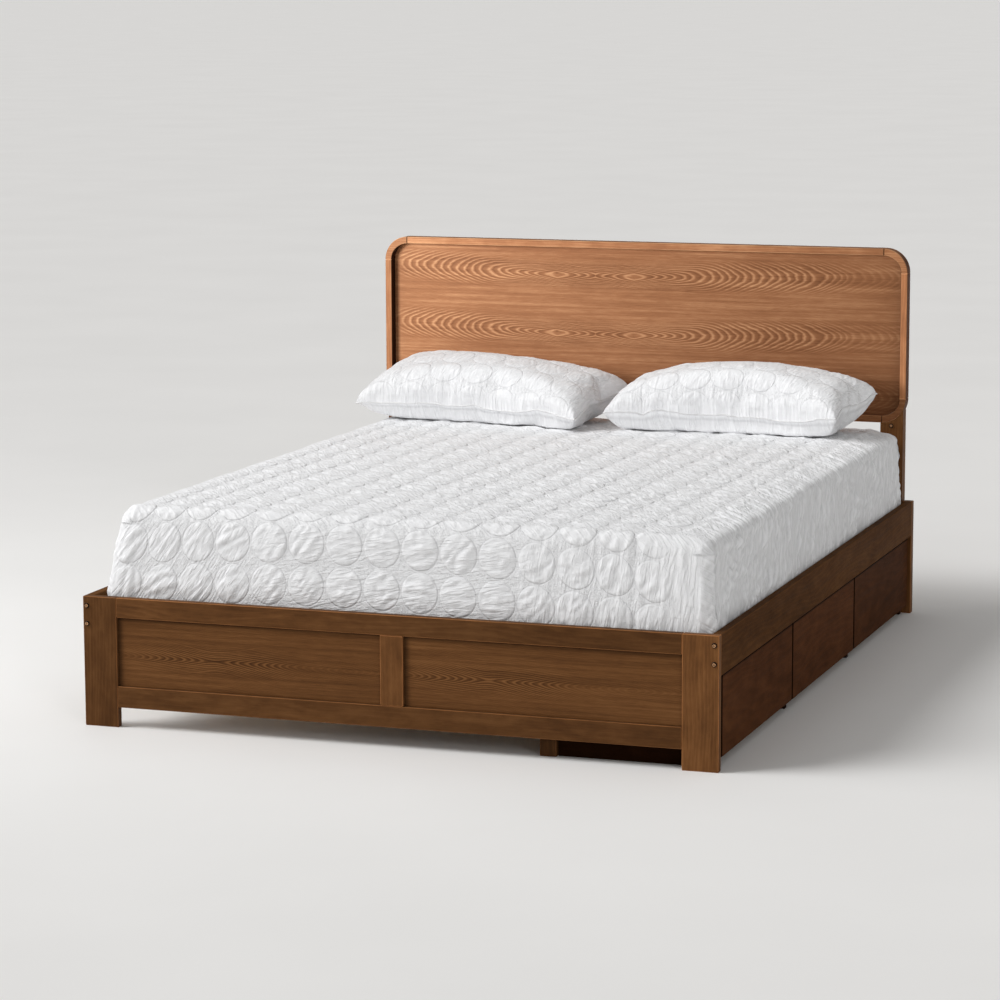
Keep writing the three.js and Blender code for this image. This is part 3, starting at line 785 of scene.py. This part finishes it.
def quilted_cloth(name, whiteness, puffed, wrinkle_turn=None):
    """White cotton. 'quilt' holds the cloth's own coordinates and how quilted it is, 'hollow' its creases,
    which darken the colour as painted shade.
    """
    s = Shader(name)
    cloth_s, cloth_t, amount = s.split(s.attribute("quilt"))
    hollow = s.split(s.attribute("hollow"))[0]
    x, y, z = s.split(s.place())
    if wrinkle_turn is None:
        folded = mattress_wrinkles(s, x, z, cloth_s, cloth_t)
    else:
        folded = wrinkles(s, cloth_s, cloth_t, wrinkle_turn)
    groove, shoulder, thread, gap = stitching(s, cloth_s, cloth_t, amount)
    stipple = s.rise(s.noise(s.place(), 240.0, 1.0), 0.50, 0.64) * gap
    crumple = s.noise(s.place(), 85.0, 4.0, 0.6)
    creased = crumple_lines(s, s.place()) * 0.10
    threads = [s.math("SINE", value * (2 * math.pi / THREAD_PITCH)) for value in (x, y, z)]
    weave = (threads[0] + threads[1] + threads[2]) * 0.33
    slub = s.noise(s.scaled((x, y, z), (1500.0, 260.0, 1500.0)), detail=2)

    # Painted shade: the wrinkles' valleys, the hollows, the crease lines and the stitch grooves darken the
    # colour, besides their bumps.
    shade = s.swing(crumple, 0.05) + s.swing(slub, 0.05) + weave * 0.02 + folded * 0.24 - 0.13
    shade = shade - hollow * 0.42 - creased - groove * 0.05 - stipple * 0.18
    bright = s.math("ADD", shade, 0.76, clamp=True)
    white = [part * whiteness for part in (0.86, 0.865, 0.88)] + [1.0]
    grey = [part * 0.66 for part in white[:3]] + [1.0]

    normal = s.bump(crumple - creased * 4.0, 0.55 * MM)
    for height, depth in ((folded, 1.1), (weave + s.swing(slub, 0.5), 0.05), (stipple, 0.5),
                          (shoulder, puffed), (thread * 0.35 - groove, 0.5)):
        normal = s.bump(height, depth * MM, normal)
    s.set(Base_Color=s.mix(bright, grey, white), Normal=normal, Roughness=0.88, Specular_IOR_Level=0.25,
          Sheen_Weight=0.25, Sheen_Roughness=0.45)
    return s.material


def piping_cloth():
    """Twisted cord covered in the same cotton."""
    s = Shader("piping_cotton")
    x, y, z = s.split(s.place())
    twill = s.math("SINE", (x + y + z * 1.5) * (2 * math.pi / TWILL_PITCH))
    fuzz = s.noise(s.place(), 900.0, 2.0)
    colour = s.mix(s.swing(fuzz, 0.12) + 0.7, [0.62, 0.62, 0.63, 1.0], [0.86, 0.86, 0.865, 1.0])
    s.set(Base_Color=colour, Roughness=0.9, Normal=s.bump(twill, 0.10 * MM), Sheen_Weight=0.2)
    return s.material


# ======== Quilt cells ========
def cell_grid():
    """A cell's points, measured from its middle, and how high a dome over its circle is at each."""
    span = np.linspace(-PITCH / 2, PITCH / 2, CELL_POINTS)
    gs, gt = np.meshgrid(span, span, indexing="ij")
    return gs, gt, np.clip(1 - (gs ** 2 + gt ** 2) / STITCH_RADIUS ** 2, 0, 1)


def simulate_cells():
    """Square patches of slack cloth held flat outside a circle and puffed up inside it."""
    random = np.random.default_rng(11)
    gs, gt, dome = [grid.ravel() for grid in cell_grid()]
    quads = grid_faces(np.arange(CELL_POINTS ** 2).reshape(CELL_POINTS, CELL_POINTS))
    flat, slack, faces = [], [], []
    for index in range(CELL_ROWS ** 2):
        middle = np.array([index % CELL_ROWS, index // CELL_ROWS]) * PITCH * 1.2
        turn = random.uniform(0, math.pi)
        along, across = random.uniform(0.09, 0.15), random.uniform(0.02, 0.05)
        ripple = noise(gs * 45 + index * 9.7, gt * 45, index, 5)
        u, v = rotated(gs, gt, turn)
        loose_s, loose_t = rotated(u * (1 + along), v * (1 + across), -turn)
        height = dome * (3 * MM + 2 * MM * ripple)
        flat.append(np.stack([gs + middle[0], gt + middle[1], height], axis=1))
        slack.append(np.stack([loose_s + middle[0], loose_t + middle[1], np.zeros_like(gs)], axis=1))
        faces.append(quads + index * CELL_POINTS ** 2)
    patch = make_piece("quilt_cells", np.concatenate(flat), np.concatenate(faces), None)
    held = np.flatnonzero(np.tile(gs ** 2 + gt ** 2 >= (STITCH_RADIUS - 1 * MM) ** 2, CELL_ROWS ** 2))
    patch.vertex_groups.new(name="held").add([int(i) for i in held], 1.0, "REPLACE")
    patch.shape_key_add(name="Basis")
    loose = patch.shape_key_add(name="slack")
    loose.data.foreach_set("co", np.concatenate(slack).astype(np.float32).ravel())
    loose.value = 0
    points = settle(patch, 34, pressure=2.2, tension=12, bending=0.04, pin="held", rest="slack")
    bpy.data.objects.remove(patch)
    heights = points[:, 2].reshape(CELL_ROWS ** 2, CELL_POINTS, CELL_POINTS)
    return np.clip(heights, -2 * MM, 13 * MM)


def cell_number(cloth_s, cloth_t, salt=0):
    """A steady scrambled whole number for each quilt cell."""
    column, row = np.floor(cloth_s / PITCH), np.floor(cloth_t / PITCH)
    mixed = (column * 73856093 + row * 19349663 + 374761393 + salt * 83492791).astype(np.int64)
    return (mixed ^ (mixed >> 7)) * 2654435761 % 4294967296


def cell_dice(cloth_s, cloth_t, salt):
    """A steady random number, 0 to 1, for each quilt cell."""
    return (cell_number(cloth_s, cloth_t, salt) >> 9 & 65535) / 65536


def quilt_height(cloth_s, cloth_t, cells):
    """The puffs' height at cloth coordinates. Each cell takes its own simulated puff, turned at random."""
    u, v = cloth_s / PITCH % 1, cloth_t / PITCH % 1
    mixed = cell_number(cloth_s, cloth_t)
    pick = (mixed >> 9) % len(cells)
    u = np.where(mixed >> 3 & 1, 1 - u, u)
    v = np.where(mixed >> 4 & 1, 1 - v, v)
    u, v = np.where(mixed >> 5 & 1, v, u), np.where(mixed >> 5 & 1, u, v)
    reach = CELL_POINTS - 1
    fu, fv = u * reach, v * reach
    iu, iv = np.clip(fu.astype(int), 0, reach - 1), np.clip(fv.astype(int), 0, reach - 1)
    du, dv = fu - iu, fv - iv
    low = cells[pick, iu, iv] * (1 - dv) + cells[pick, iu, iv + 1] * dv
    high = cells[pick, iu + 1, iv] * (1 - dv) + cells[pick, iu + 1, iv + 1] * dv
    return low * (1 - du) + high * du


def puff_folds(cloth_s, cloth_t, slant):
    """Broad folds across each puff. slant is their direction at each point, before each puff's own turn."""
    u, v = cloth_s / PITCH % 1 - 0.5, cloth_t / PITCH % 1 - 0.5
    turn = slant + 1.2 * (cell_dice(cloth_s, cloth_t, 1) - 0.5)
    shift = 40 * cell_dice(cloth_s, cloth_t, 2)
    along, across = [way * PITCH for way in rotated(u, v, turn)]
    broad = np.abs(noise(along * 10 + shift, across * 38, shift, 51))
    fine = np.abs(noise(along * 20 + shift, across * 75, shift, 52))
    inside = smooth(0.48 - np.hypot(u, v), 0.0, 0.10)
    return inside * MM * (5.0 * broad + 2.8 * fine - 1.9)


# ======== Mattress ========
def box_grid(size, step):
    """Points (0 to 1 along each side) and faces of a box: even grids, and one face for the bottom."""
    counts = [max(2, int(round(length / step))) for length in size]
    nx, ny, nz = counts
    sides = []
    for axis, end in ((2, nz), (0, 0), (0, nx), (1, 0), (1, ny)):
        first, second = [other for other in (0, 1, 2) if other != axis]
        a, b = np.meshgrid(np.arange(counts[first] + 1), np.arange(counts[second] + 1), indexing="ij")
        place = [None] * 3
        place[axis] = np.full(a.shape, end)
        place[first], place[second] = a, b
        sides.append((place[0] * (ny + 1) + place[1]) * (nz + 1) + place[2])
    keys, numbers = np.unique(np.concatenate([side.ravel() for side in sides]), return_inverse=True)
    parts = np.split(numbers.ravel(), np.cumsum([side.size for side in sides])[:-1])
    faces = [grid_faces(part.reshape(side.shape)) for part, side in zip(parts, sides)]
    place = np.stack([keys // (nz + 1) // (ny + 1), keys // (nz + 1) % (ny + 1), keys % (nz + 1)], 1)
    bottom = np.searchsorted(keys, [(i * (ny + 1) + j) * (nz + 1) for i, j in grid_rim(nx, ny)])
    return place / np.array(counts), [tuple(f) for f in np.concatenate(faces)] + [tuple(bottom)]


def arc_lengths(wide, high, steps=200):
    """Angles from 0 to 90 degrees and the way along an ellipse's quarter to each of them."""
    angles = np.linspace(0, math.pi / 2, steps)
    pace = np.hypot(wide * np.cos(angles), high * np.sin(angles))
    way = np.concatenate([[0], np.cumsum((pace[1:] + pace[:-1]) / 2 * np.diff(angles))])
    return angles, way


def mattress_form(low, high):
    """The unquilted mattress: its points, faces, and the cloth's coordinates at each point."""
    size = np.array(high - low)
    middle = np.array(high + low) / 2
    part, faces = box_grid(size, MATTRESS_STEP)
    at = (part - 0.5) * size
    inner = size / 2 - MATTRESS_ROUND
    core = np.clip(at, -inner, inner)
    out = (at - core) / MATTRESS_ROUND
    length = np.linalg.norm(out, axis=1, keepdims=True)
    direction = out / np.maximum(length, 1e-9)
    points = middle + core + MATTRESS_ROUND * direction

    angles, way = arc_lengths(MATTRESS_ROUND[0], MATTRESS_ROUND[2])
    rise = np.maximum(out[:, 2], 0)
    cloth = np.empty((len(at), 2))
    for axis in (0, 1):
        angle = np.arctan2(np.abs(out[:, axis]), rise)
        on_wall = (np.abs(out[:, axis]) > 1e-6) & (out[:, 2] < 1e-6)
        edge = np.where(on_wall, way[-1] + inner[2] - at[:, 2], np.interp(angle, angles, way))
        if axis == 0:
            round_corner = np.arctan2(np.abs(out[:, 0]), np.abs(out[:, 1])) * MATTRESS_ROUND[0]
            edge = np.where(on_wall & (np.abs(out[:, 1]) > 1e-6), round_corner, edge)
        edge = np.where(np.abs(out[:, axis]) < 1e-6, 0, edge)
        cloth[:, axis] = core[:, axis] + np.sign(at[:, axis]) * edge
    return points, faces, cloth, direction, middle


def lean_walls(points, low, high):
    """The walls lean in towards the top, most of all at the left."""
    straight = 66 * MM          # of the wall, down in the frame
    size = np.array(high - low)
    middle = np.array(high + low) / 2
    up = np.clip((points[:, 2] - (low.z + straight)) / (size[2] - straight), 0, 1)
    x, y = ((points - middle) / (size / 2)).T[:2]
    push = lambda side: smooth(side, 0.55, 1.0) * up
    points[:, 0] += LEAN["left"] * push(-x) - LEAN["right"] * push(x)
    points[:, 1] += LEAN["foot"] * push(-y) - LEAN["head"] * push(y)
    return points


def mattress_gathers(points, wall):
    """Folds where the skirt is pulled in by elastic: long soft ones with fine creases between."""
    x, y, z = points.T
    slant = 0.42 + 0.30 * noise(x * 2.2, y * 2.2, 0.5, 21)
    sx, sy = x - slant * z, y - slant * z
    soft = noise(sx * 26, sy * 26, z * 3.5, 22)
    fine = 1 - np.abs(noise(sx * 52, sy * 52, z * 5, 23)) * 2
    broad = noise(sx * 8, sy * 8, z * 2.0, 24)
    wrinkles = noise(sx * 95, sy * 95, z * 14, 20)
    at_foot = 1 - 0.45 * smooth(-y, 0.93, 0.98)
    creases = 6.0 * fine * smooth(soft, -0.6, 0.4)
    return wall * at_foot * MM * (7.0 * soft - creases + 3.5 * broad + 1.4 * wrinkles)


def edge_creases(points, side_reach, strength):
    """The dip at the seam where the quilted top meets the side skirt, with short slanting creases."""
    x, y, z = points.T
    near = band(side_reach, -0.07, -0.01, 0.03, 0.09)
    ridge = 1 - np.abs(noise(x * 10 + z * 12, y * 62 + x * 30, z * 10, 31)) * 2
    dip = band(side_reach, -0.05, 0.008, 0.008, 0.05)
    return strength * MM * (5.5 * ridge * near - 8.0 * dip)


def foot_relief(points, quilt_s, quilt_t):
    """Folds on the foot face: slanting at the left, level in the middle and upright at the right."""
    x, y, z = points.T
    slant = np.interp(x, [-0.76, -0.55, -0.30, 0.0, 0.30, 0.55], [1.15, 0.75, 0.55, 0.25, 0.10, 1.45])
    folds = puff_folds(quilt_s, quilt_t, slant)
    upright = noise(x * 70, y * 20, z * 6, 25) * smooth(z, 0.485, 0.53)
    crumples = noise(x * 70, y * 70, z * 70, 19)
    return folds + MM * (2.0 * upright + 0.9 * crumples)


def top_relief(points, quilt_s, quilt_t):
    """Folds on the top: soft puffs, with slanting creases towards the foot and the drawer side."""
    x, y = points[:, :2].T
    pulled = smooth(x - 0.35 * y, -0.45, 0.65)
    folds = puff_folds(quilt_s, quilt_t, np.full(len(x), -0.85)) * (0.55 + 0.45 * pulled)
    slanting = noise((x + y) * 12, (y - x) * 52, 0.3, 28)
    crumples = noise(x * 60, y * 60, 0.7, 29) + 0.6 * noise(x * 130, y * 130, 0.2, 30)
    return folds + MM * (2.4 * pulled * slanting + 0.8 * crumples)


def build_mattress(cells, material):
    """The quilted mattress: its form, then puffs, folds and gathers along the surface's own direction."""
    low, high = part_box("mattress")
    points, faces, cloth, direction, middle = mattress_form(low, high)
    inner = np.array(high - low) / 2 - MATTRESS_ROUND
    foot_edge = inner[1] + arc_lengths(MATTRESS_ROUND[1], MATTRESS_ROUND[2])[1][-1]
    wall_top = middle[2] + inner[2] - ROW_LINE_Z
    quilt_s = cloth[:, 0] + middle[0] - COLUMN_LINE_X
    quilt_t = cloth[:, 1] + foot_edge
    quilt_t = np.minimum(quilt_t + wall_top, wall_top) / FOOT_STRETCH + np.maximum(quilt_t, 0)
    quilt_t += ROW_ARCH * (points[:, 0] - ROW_ARCH_X) ** 2

    side_reach = np.abs(cloth[:, 0]) - inner[0]
    head_reach = cloth[:, 1] - inner[1]
    wall = smooth(1 - np.maximum(direction[:, 2], 0), 0.35, 0.95)
    is_foot = smooth(-direction[:, 1], 0.55, 0.9)
    over_side = np.maximum(smooth(side_reach, -0.035, 0.03), smooth(head_reach, -0.02, 0.04))
    foot_corner = smooth(np.abs(direction[:, 0]), 0.35, 0.95)
    on_foot = cloth[:, 1] < -inner[1]
    last_columns = 1 - 0.9 * smooth(points[:, 0], 0.60, 0.74)
    amount = np.where(on_foot, (1 - foot_corner) * last_columns, 1 - over_side)
    visible = 1 - smooth(-direction[:, 2], 0.2, 0.6)
    at_corner = smooth(np.abs(direction).prod(1), 0.02, 0.12)
    amount = amount * visible * (1 - at_corner)

    points = lean_walls(points, low, high)
    x, y, z = points.T
    on_top = smooth(direction[:, 2], 0.5, 0.95)
    height = amount * (0.85 + 0.35 * on_top) * quilt_height(quilt_s, quilt_t, cells)
    height += amount * (1 - on_top) * foot_relief(points, quilt_s, quilt_t)
    height += amount * on_top * top_relief(points, quilt_s, quilt_t)
    gathered = wall * (1 - is_foot * (1 - foot_corner))
    height += mattress_gathers(points, gathered * visible)
    creases = noise(x * 55, y * 30, z * 6, 27) * smooth(x, 0.20, 0.60)
    height += is_foot * (1 - foot_corner) * visible * 2.8 * MM * creases
    height += visible * 2.6 * MM * noise(x * 5.5, y * 5.5, z * 5.5, 26)
    height += edge_creases(points, side_reach, smooth(x, 0.0, 0.4) * smooth(y, -1.02, -0.94))

    mattress = make_piece("quilted_mattress", points, faces, material)
    face_outward(mattress.data)
    normals = read_vectors(mattress.data.vertex_normals)
    points = read_points(mattress.data) + normals * height[:, None]
    slope = (points[:, 1] - low.y) / (high.y - low.y)
    points[:, 2] -= TOP_DROP * slope * smooth(points[:, 2], high.z - 0.2, high.z)
    room = RAIL_ROOM + 10 * MM * smooth(points[:, 2], RAIL_TOP, RAIL_TOP + 26 * MM)
    points[:, 0] = np.clip(points[:, 0], -room, room)
    write_points(mattress.data, points)
    mark_hollows(mattress.data, height, 3.0 * MM)
    add_attribute(mattress.data, "quilt", np.stack([quilt_s - PITCH / 2, quilt_t - PITCH / 2, amount], 1))
    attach(mattress, "root")
    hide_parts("mattress")


def mattress_top(y):
    """About where the mattress's top lies, puffs included."""
    low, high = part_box("mattress")
    return high.z + 4 * MM - TOP_DROP * (y - low.y) / (high.y - low.y)


# ======== Pillows ========
def off_seam(cloth_s, cloth_t):
    """How far a point of a pillow's flat cloth lies from its seam."""
    return np.minimum(PILLOW_CLOTH[0] / 2 - np.abs(cloth_s), PILLOW_CLOTH[1] / 2 - np.abs(cloth_t))


def off_rim(cloth_s, cloth_t):
    """1 in the middle of a pillow's flat cloth and 0 along its seam, as a dome."""
    length, depth = PILLOW_CLOTH
    return (1 - (2 * cloth_s / length) ** 2) * (1 - (2 * cloth_t / depth) ** 2)


def pillow_case(name, material):
    """Two flat sheets joined all round, with the cloth's coordinates on each point."""
    length, depth = PILLOW_CLOTH
    nx, ny = int(round(length / PILLOW_STEP)), int(round(depth / PILLOW_STEP))
    xs, ys = np.linspace(-length / 2, length / 2, nx + 1), np.linspace(-depth / 2, depth / 2, ny + 1)
    gx, gy = np.meshgrid(xs, ys, indexing="ij")
    rise = off_rim(gx, gy)
    top = np.arange(gx.size).reshape(gx.shape)
    edge = rise < 1e-9
    bottom = np.where(edge, top, 0)
    bottom[~edge] = gx.size + np.arange((~edge).sum())
    bump = noise(gx * 30, gy * 30, 0, len(name)) * 2 * MM
    upper = np.stack([gx, gy, rise * (20 * MM + bump)], -1).reshape(-1, 3)
    lower = np.stack([gx, gy, -rise * (20 * MM - bump)], -1)[~edge]
    points = np.concatenate([upper, lower])
    faces = np.concatenate([grid_faces(top), grid_faces(bottom)[:, ::-1]])
    amount = smooth(off_seam(points[:, 0], points[:, 1]), 6 * MM, 30 * MM)
    amount[gx.size:] = 0
    pillow = make_piece(name, points, faces, material)
    add_attribute(pillow.data, "quilt", np.stack([points[:, 0], points[:, 1], amount], 1))
    return pillow, [top[place] for place in grid_rim(nx, ny)]


def inflate(pillow):
    points = read_points(pillow.data)
    return relaxed(pillow.data, settle(pillow, 46, pressure=3.2, tension=22, bending=0.15), 5)


def place_pillow(points, node):
    """Moves the filled case so that its seam's corners meet three given points, and plumps it up."""
    foot_left, foot_right, head_right = [np.array(corner) for corner in PILLOW_CORNERS[node]]
    swell_above, power_above, swell_below, power_below = PILLOW_SWELL[node]
    lowest, highest = points.min(0), points.max(0)
    share = (points - (lowest + highest) / 2) / (highest - lowest)
    along, back = foot_right - foot_left, head_right - foot_right
    up = np.cross(along, back)
    up /= np.linalg.norm(up)
    middle = foot_left + along / 2 + back / 2
    above = np.clip(points[:, 2] / highest[2], 0, 1) ** power_above * swell_above
    below = np.clip(points[:, 2] / lowest[2], 0, 1) ** power_below * swell_below
    return middle + share[:, :1] * along + share[:, 1:2] * back + (above - below)[:, None] * up


def rest_on_mattress(points):
    """Presses the underside flat where it would sink into the mattress."""
    floor = mattress_top(points[:, 1])
    sunk = points[:, 2] - floor
    softness = 7 * MM
    points[:, 2] = floor + softness * np.logaddexp(0, sunk / softness) - 2 * MM
    return points


def add_piping(name, points, material, radius=2.3 * MM, turns=8):
    """A cord along a closed run of points."""
    ahead = np.roll(points, -1, 0) - np.roll(points, 1, 0)
    ahead /= np.linalg.norm(ahead, axis=1, keepdims=True)
    side = np.cross(ahead, [0, 0, 1.0])
    side /= np.linalg.norm(side, axis=1, keepdims=True)
    up = np.cross(side, ahead)
    angles = np.arange(turns) * 2 * math.pi / turns
    ring = side[:, None] * np.cos(angles)[None, :, None] + up[:, None] * np.sin(angles)[None, :, None]
    shell = (points[:, None] + radius * ring).reshape(-1, 3)
    rings = np.arange(len(shell)).reshape(-1, turns)
    piece = make_piece(name, shell, grid_faces(np.pad(rings, ((0, 1), (0, 1)), "wrap")), material)
    face_outward(piece.data)
    return piece


def build_pillow(node, cells, cloth, cord):
    """One filled pillow, quilted on its upper side, with a cord along its seam."""
    pillow, rim = pillow_case(f"{node}_quilted", cloth)
    points = place_pillow(inflate(pillow), node)
    write_points(pillow.data, rest_on_mattress(points))
    seam = read_points(pillow.data)[rim]
    pillow.modifiers.new("fine", "SUBSURF").levels = 2
    apply_modifiers(pillow)
    mesh = pillow.data
    points, normals = read_points(mesh), read_vectors(mesh.vertex_normals)
    cloth_s, cloth_t, amount = read_vectors(mesh.attributes["quilt"].data).T
    shift = len(node) * PITCH * 7
    quilt_s, quilt_t = cloth_s + shift + PITCH / 2, cloth_t + shift + PITCH / 2
    plain = 1 - smooth(amount, 0.0, 0.3)
    x, y, z = points.T
    folds = puff_folds(quilt_s, quilt_t, np.full(len(x), 1.4))
    height = amount * (0.60 * quilt_height(quilt_s, quilt_t, cells) + 0.40 * folds)
    height += plain * MM * (2.0 * noise(x * 26, y * 9, z * 9, 41) + 1.1 * noise(x * 60, y * 20, z * 20, 42))
    tucked = band(off_seam(cloth_s, cloth_t), 1 * MM, 9 * MM, 14 * MM, 50 * MM) * (amount < 1e-4)
    height -= 6 * MM * tucked
    near_seam = 1 - smooth(PILLOW_CLOTH[1] / 2 - np.abs(cloth_t), 0.03, 0.15)
    gathers = 2.2 * np.abs(noise(x * 58, y * 10, z * 10, 43)) + 1.2 * noise(x * 110, y * 20, z * 20, 44)
    height += amount * near_seam * MM * gathers
    write_points(mesh, points + normals * height[:, None])
    mark_hollows(mesh, height, 1.2 * MM)
    mesh.polygons.foreach_set("use_smooth", [True] * len(mesh.polygons))
    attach(pillow, "root")
    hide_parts(node)
    piping = add_piping(f"{node}_piping", seam, cord)
    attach(piping, "root")
    return pillow


# ======== Stage ========
def build_floor():
    """A plain pale floor, wide enough to fill the view."""
    reach = 220.0
    s = Shader("pale_floor")
    cloudy = s.noise(s.place(), 1.3, 3)
    colour = s.mix(cloudy, [0.82, 0.815, 0.805, 1.0], [0.88, 0.875, 0.865, 1.0])
    s.set(Base_Color=colour, Roughness=0.62, Specular_IOR_Level=0.2)
    corners = [(-reach, -reach, 0), (reach, -reach, 0), (reach, reach, 0), (-reach, reach, 0)]
    floor = make_piece("floor", corners, [(0, 1, 2, 3)], s.material, smooth_shade=False)


def add_lamp(name, kind, shine, pieces, state="EXCLUDE", at=(0, 0, 0), **settings):
    """A soft lamp that shines along a direction, on all but some pieces, or only on them (INCLUDE)."""
    lamp = bpy.data.lights.new(name, kind)
    configure(lamp, **settings)
    holder = bpy.data.objects.new(name, lamp)
    holder.location = at
    holder.rotation_euler = Vector(shine).to_track_quat("-Z", "Y").to_euler()
    bpy.context.scene.collection.objects.link(holder)
    group = bpy.data.collections.new(f"{name}_{state.lower()}")
    for piece in pieces:
        group.objects.link(piece)
    for entry in group.collection_objects:
        entry.light_linking.link_state = state
    holder.light_linking.receiver_collection = group


def add_sun(name, towards, strength, degrees, pieces, state="EXCLUDE"):
    """Light from a direction, as wide as an angle."""
    shine = [-part for part in towards]
    add_lamp(name, "SUN", shine, pieces, state, energy=strength, angle=math.radians(degrees))


def add_panel(name, at, target, power, size, pieces, state, colour=(1.0, 1.0, 1.0)):
    """A soft box that shines at a point."""
    add_lamp(name, "AREA", Vector(target) - Vector(at), pieces, state, at, energy=power, color=colour,
             shape="RECTANGLE", size=size[0], size_y=size[1])


def build_lights(pillows):
    world = bpy.data.worlds.new("studio")
    world.use_nodes = True
    sky = world.node_tree.nodes["Background"]
    sky.inputs["Color"].default_value = (1.0, 0.985, 0.965, 1.0)
    sky.inputs["Strength"].default_value = 0.36
    bpy.context.scene.world = world
    boards = sorted(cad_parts.items())
    headboard = [board for name, board in boards if wood_slot(name) == "headboard_wood"]
    add_sun("key", (-0.66, -0.32, 0.68), 2.06, 26, headboard)
    add_sun("side", (0.62, -0.68, 0.30), 0.42, 14, headboard)
    add_sun("pillow_fill", (-0.20, -0.98, 0.07), 1.65, 30, pillows, "INCLUDE")
    add_panel("glow", (-2.6, -1.2, 2.3), (-0.6, 1.0, 0.8), 30, (1.6, 1.2), headboard + pillows, "EXCLUDE")
    add_panel("headboard_window", (-1.55, -0.8, 1.3), (-0.4, 1.0, 0.85), 64, (0.6, 0.6), headboard, "INCLUDE",
              (0.95, 1.0, 1.09))


def build_camera():
    """The photograph's view."""
    place = (2.92103, -8.63257, 1.90706)
    yaw, pitch, roll = -0.3350, -0.1588, -0.0040
    ahead = Vector((math.sin(yaw) * math.cos(pitch), math.cos(yaw) * math.cos(pitch), math.sin(pitch)))
    level = ahead.cross(Vector((0, 0, 1))).normalized()
    upright = level.cross(ahead)
    right = math.cos(roll) * level + math.sin(roll) * upright
    up = math.cos(roll) * upright - math.sin(roll) * level
    data = bpy.data.cameras.new("camera")
    configure(data, sensor_width=36, lens=124.41, clip_end=1000)
    camera = bpy.data.objects.new("camera", data)
    camera.matrix_world = Matrix.Translation(place) @ Matrix((right, up, -ahead)).transposed().to_4x4()
    bpy.context.scene.collection.objects.link(camera)
    bpy.context.scene.camera = camera


def main():
    build_camera()
    build_floor()
    finish_boards()
    bolt_metal, plate = bronze(), zinc()
    add_bolts(bolt_metal)
    add_ledger_screws(bolt_metal)
    add_brackets(plate)
    add_drawer_fittings(plate)
    cells = simulate_cells()
    build_mattress(cells, quilted_cloth("mattress_cotton", 1.0, 1.3))
    pillow_cotton, cord = quilted_cloth("pillow_cotton", 0.95, 0.9, 1.45), piping_cloth()
    pillows = [build_pillow(node, cells, pillow_cotton, cord) for node in ("pillow_left", "pillow_right")]
    build_lights(pillows)
    bpy.context.scene.view_settings.view_transform = "Standard"


main()
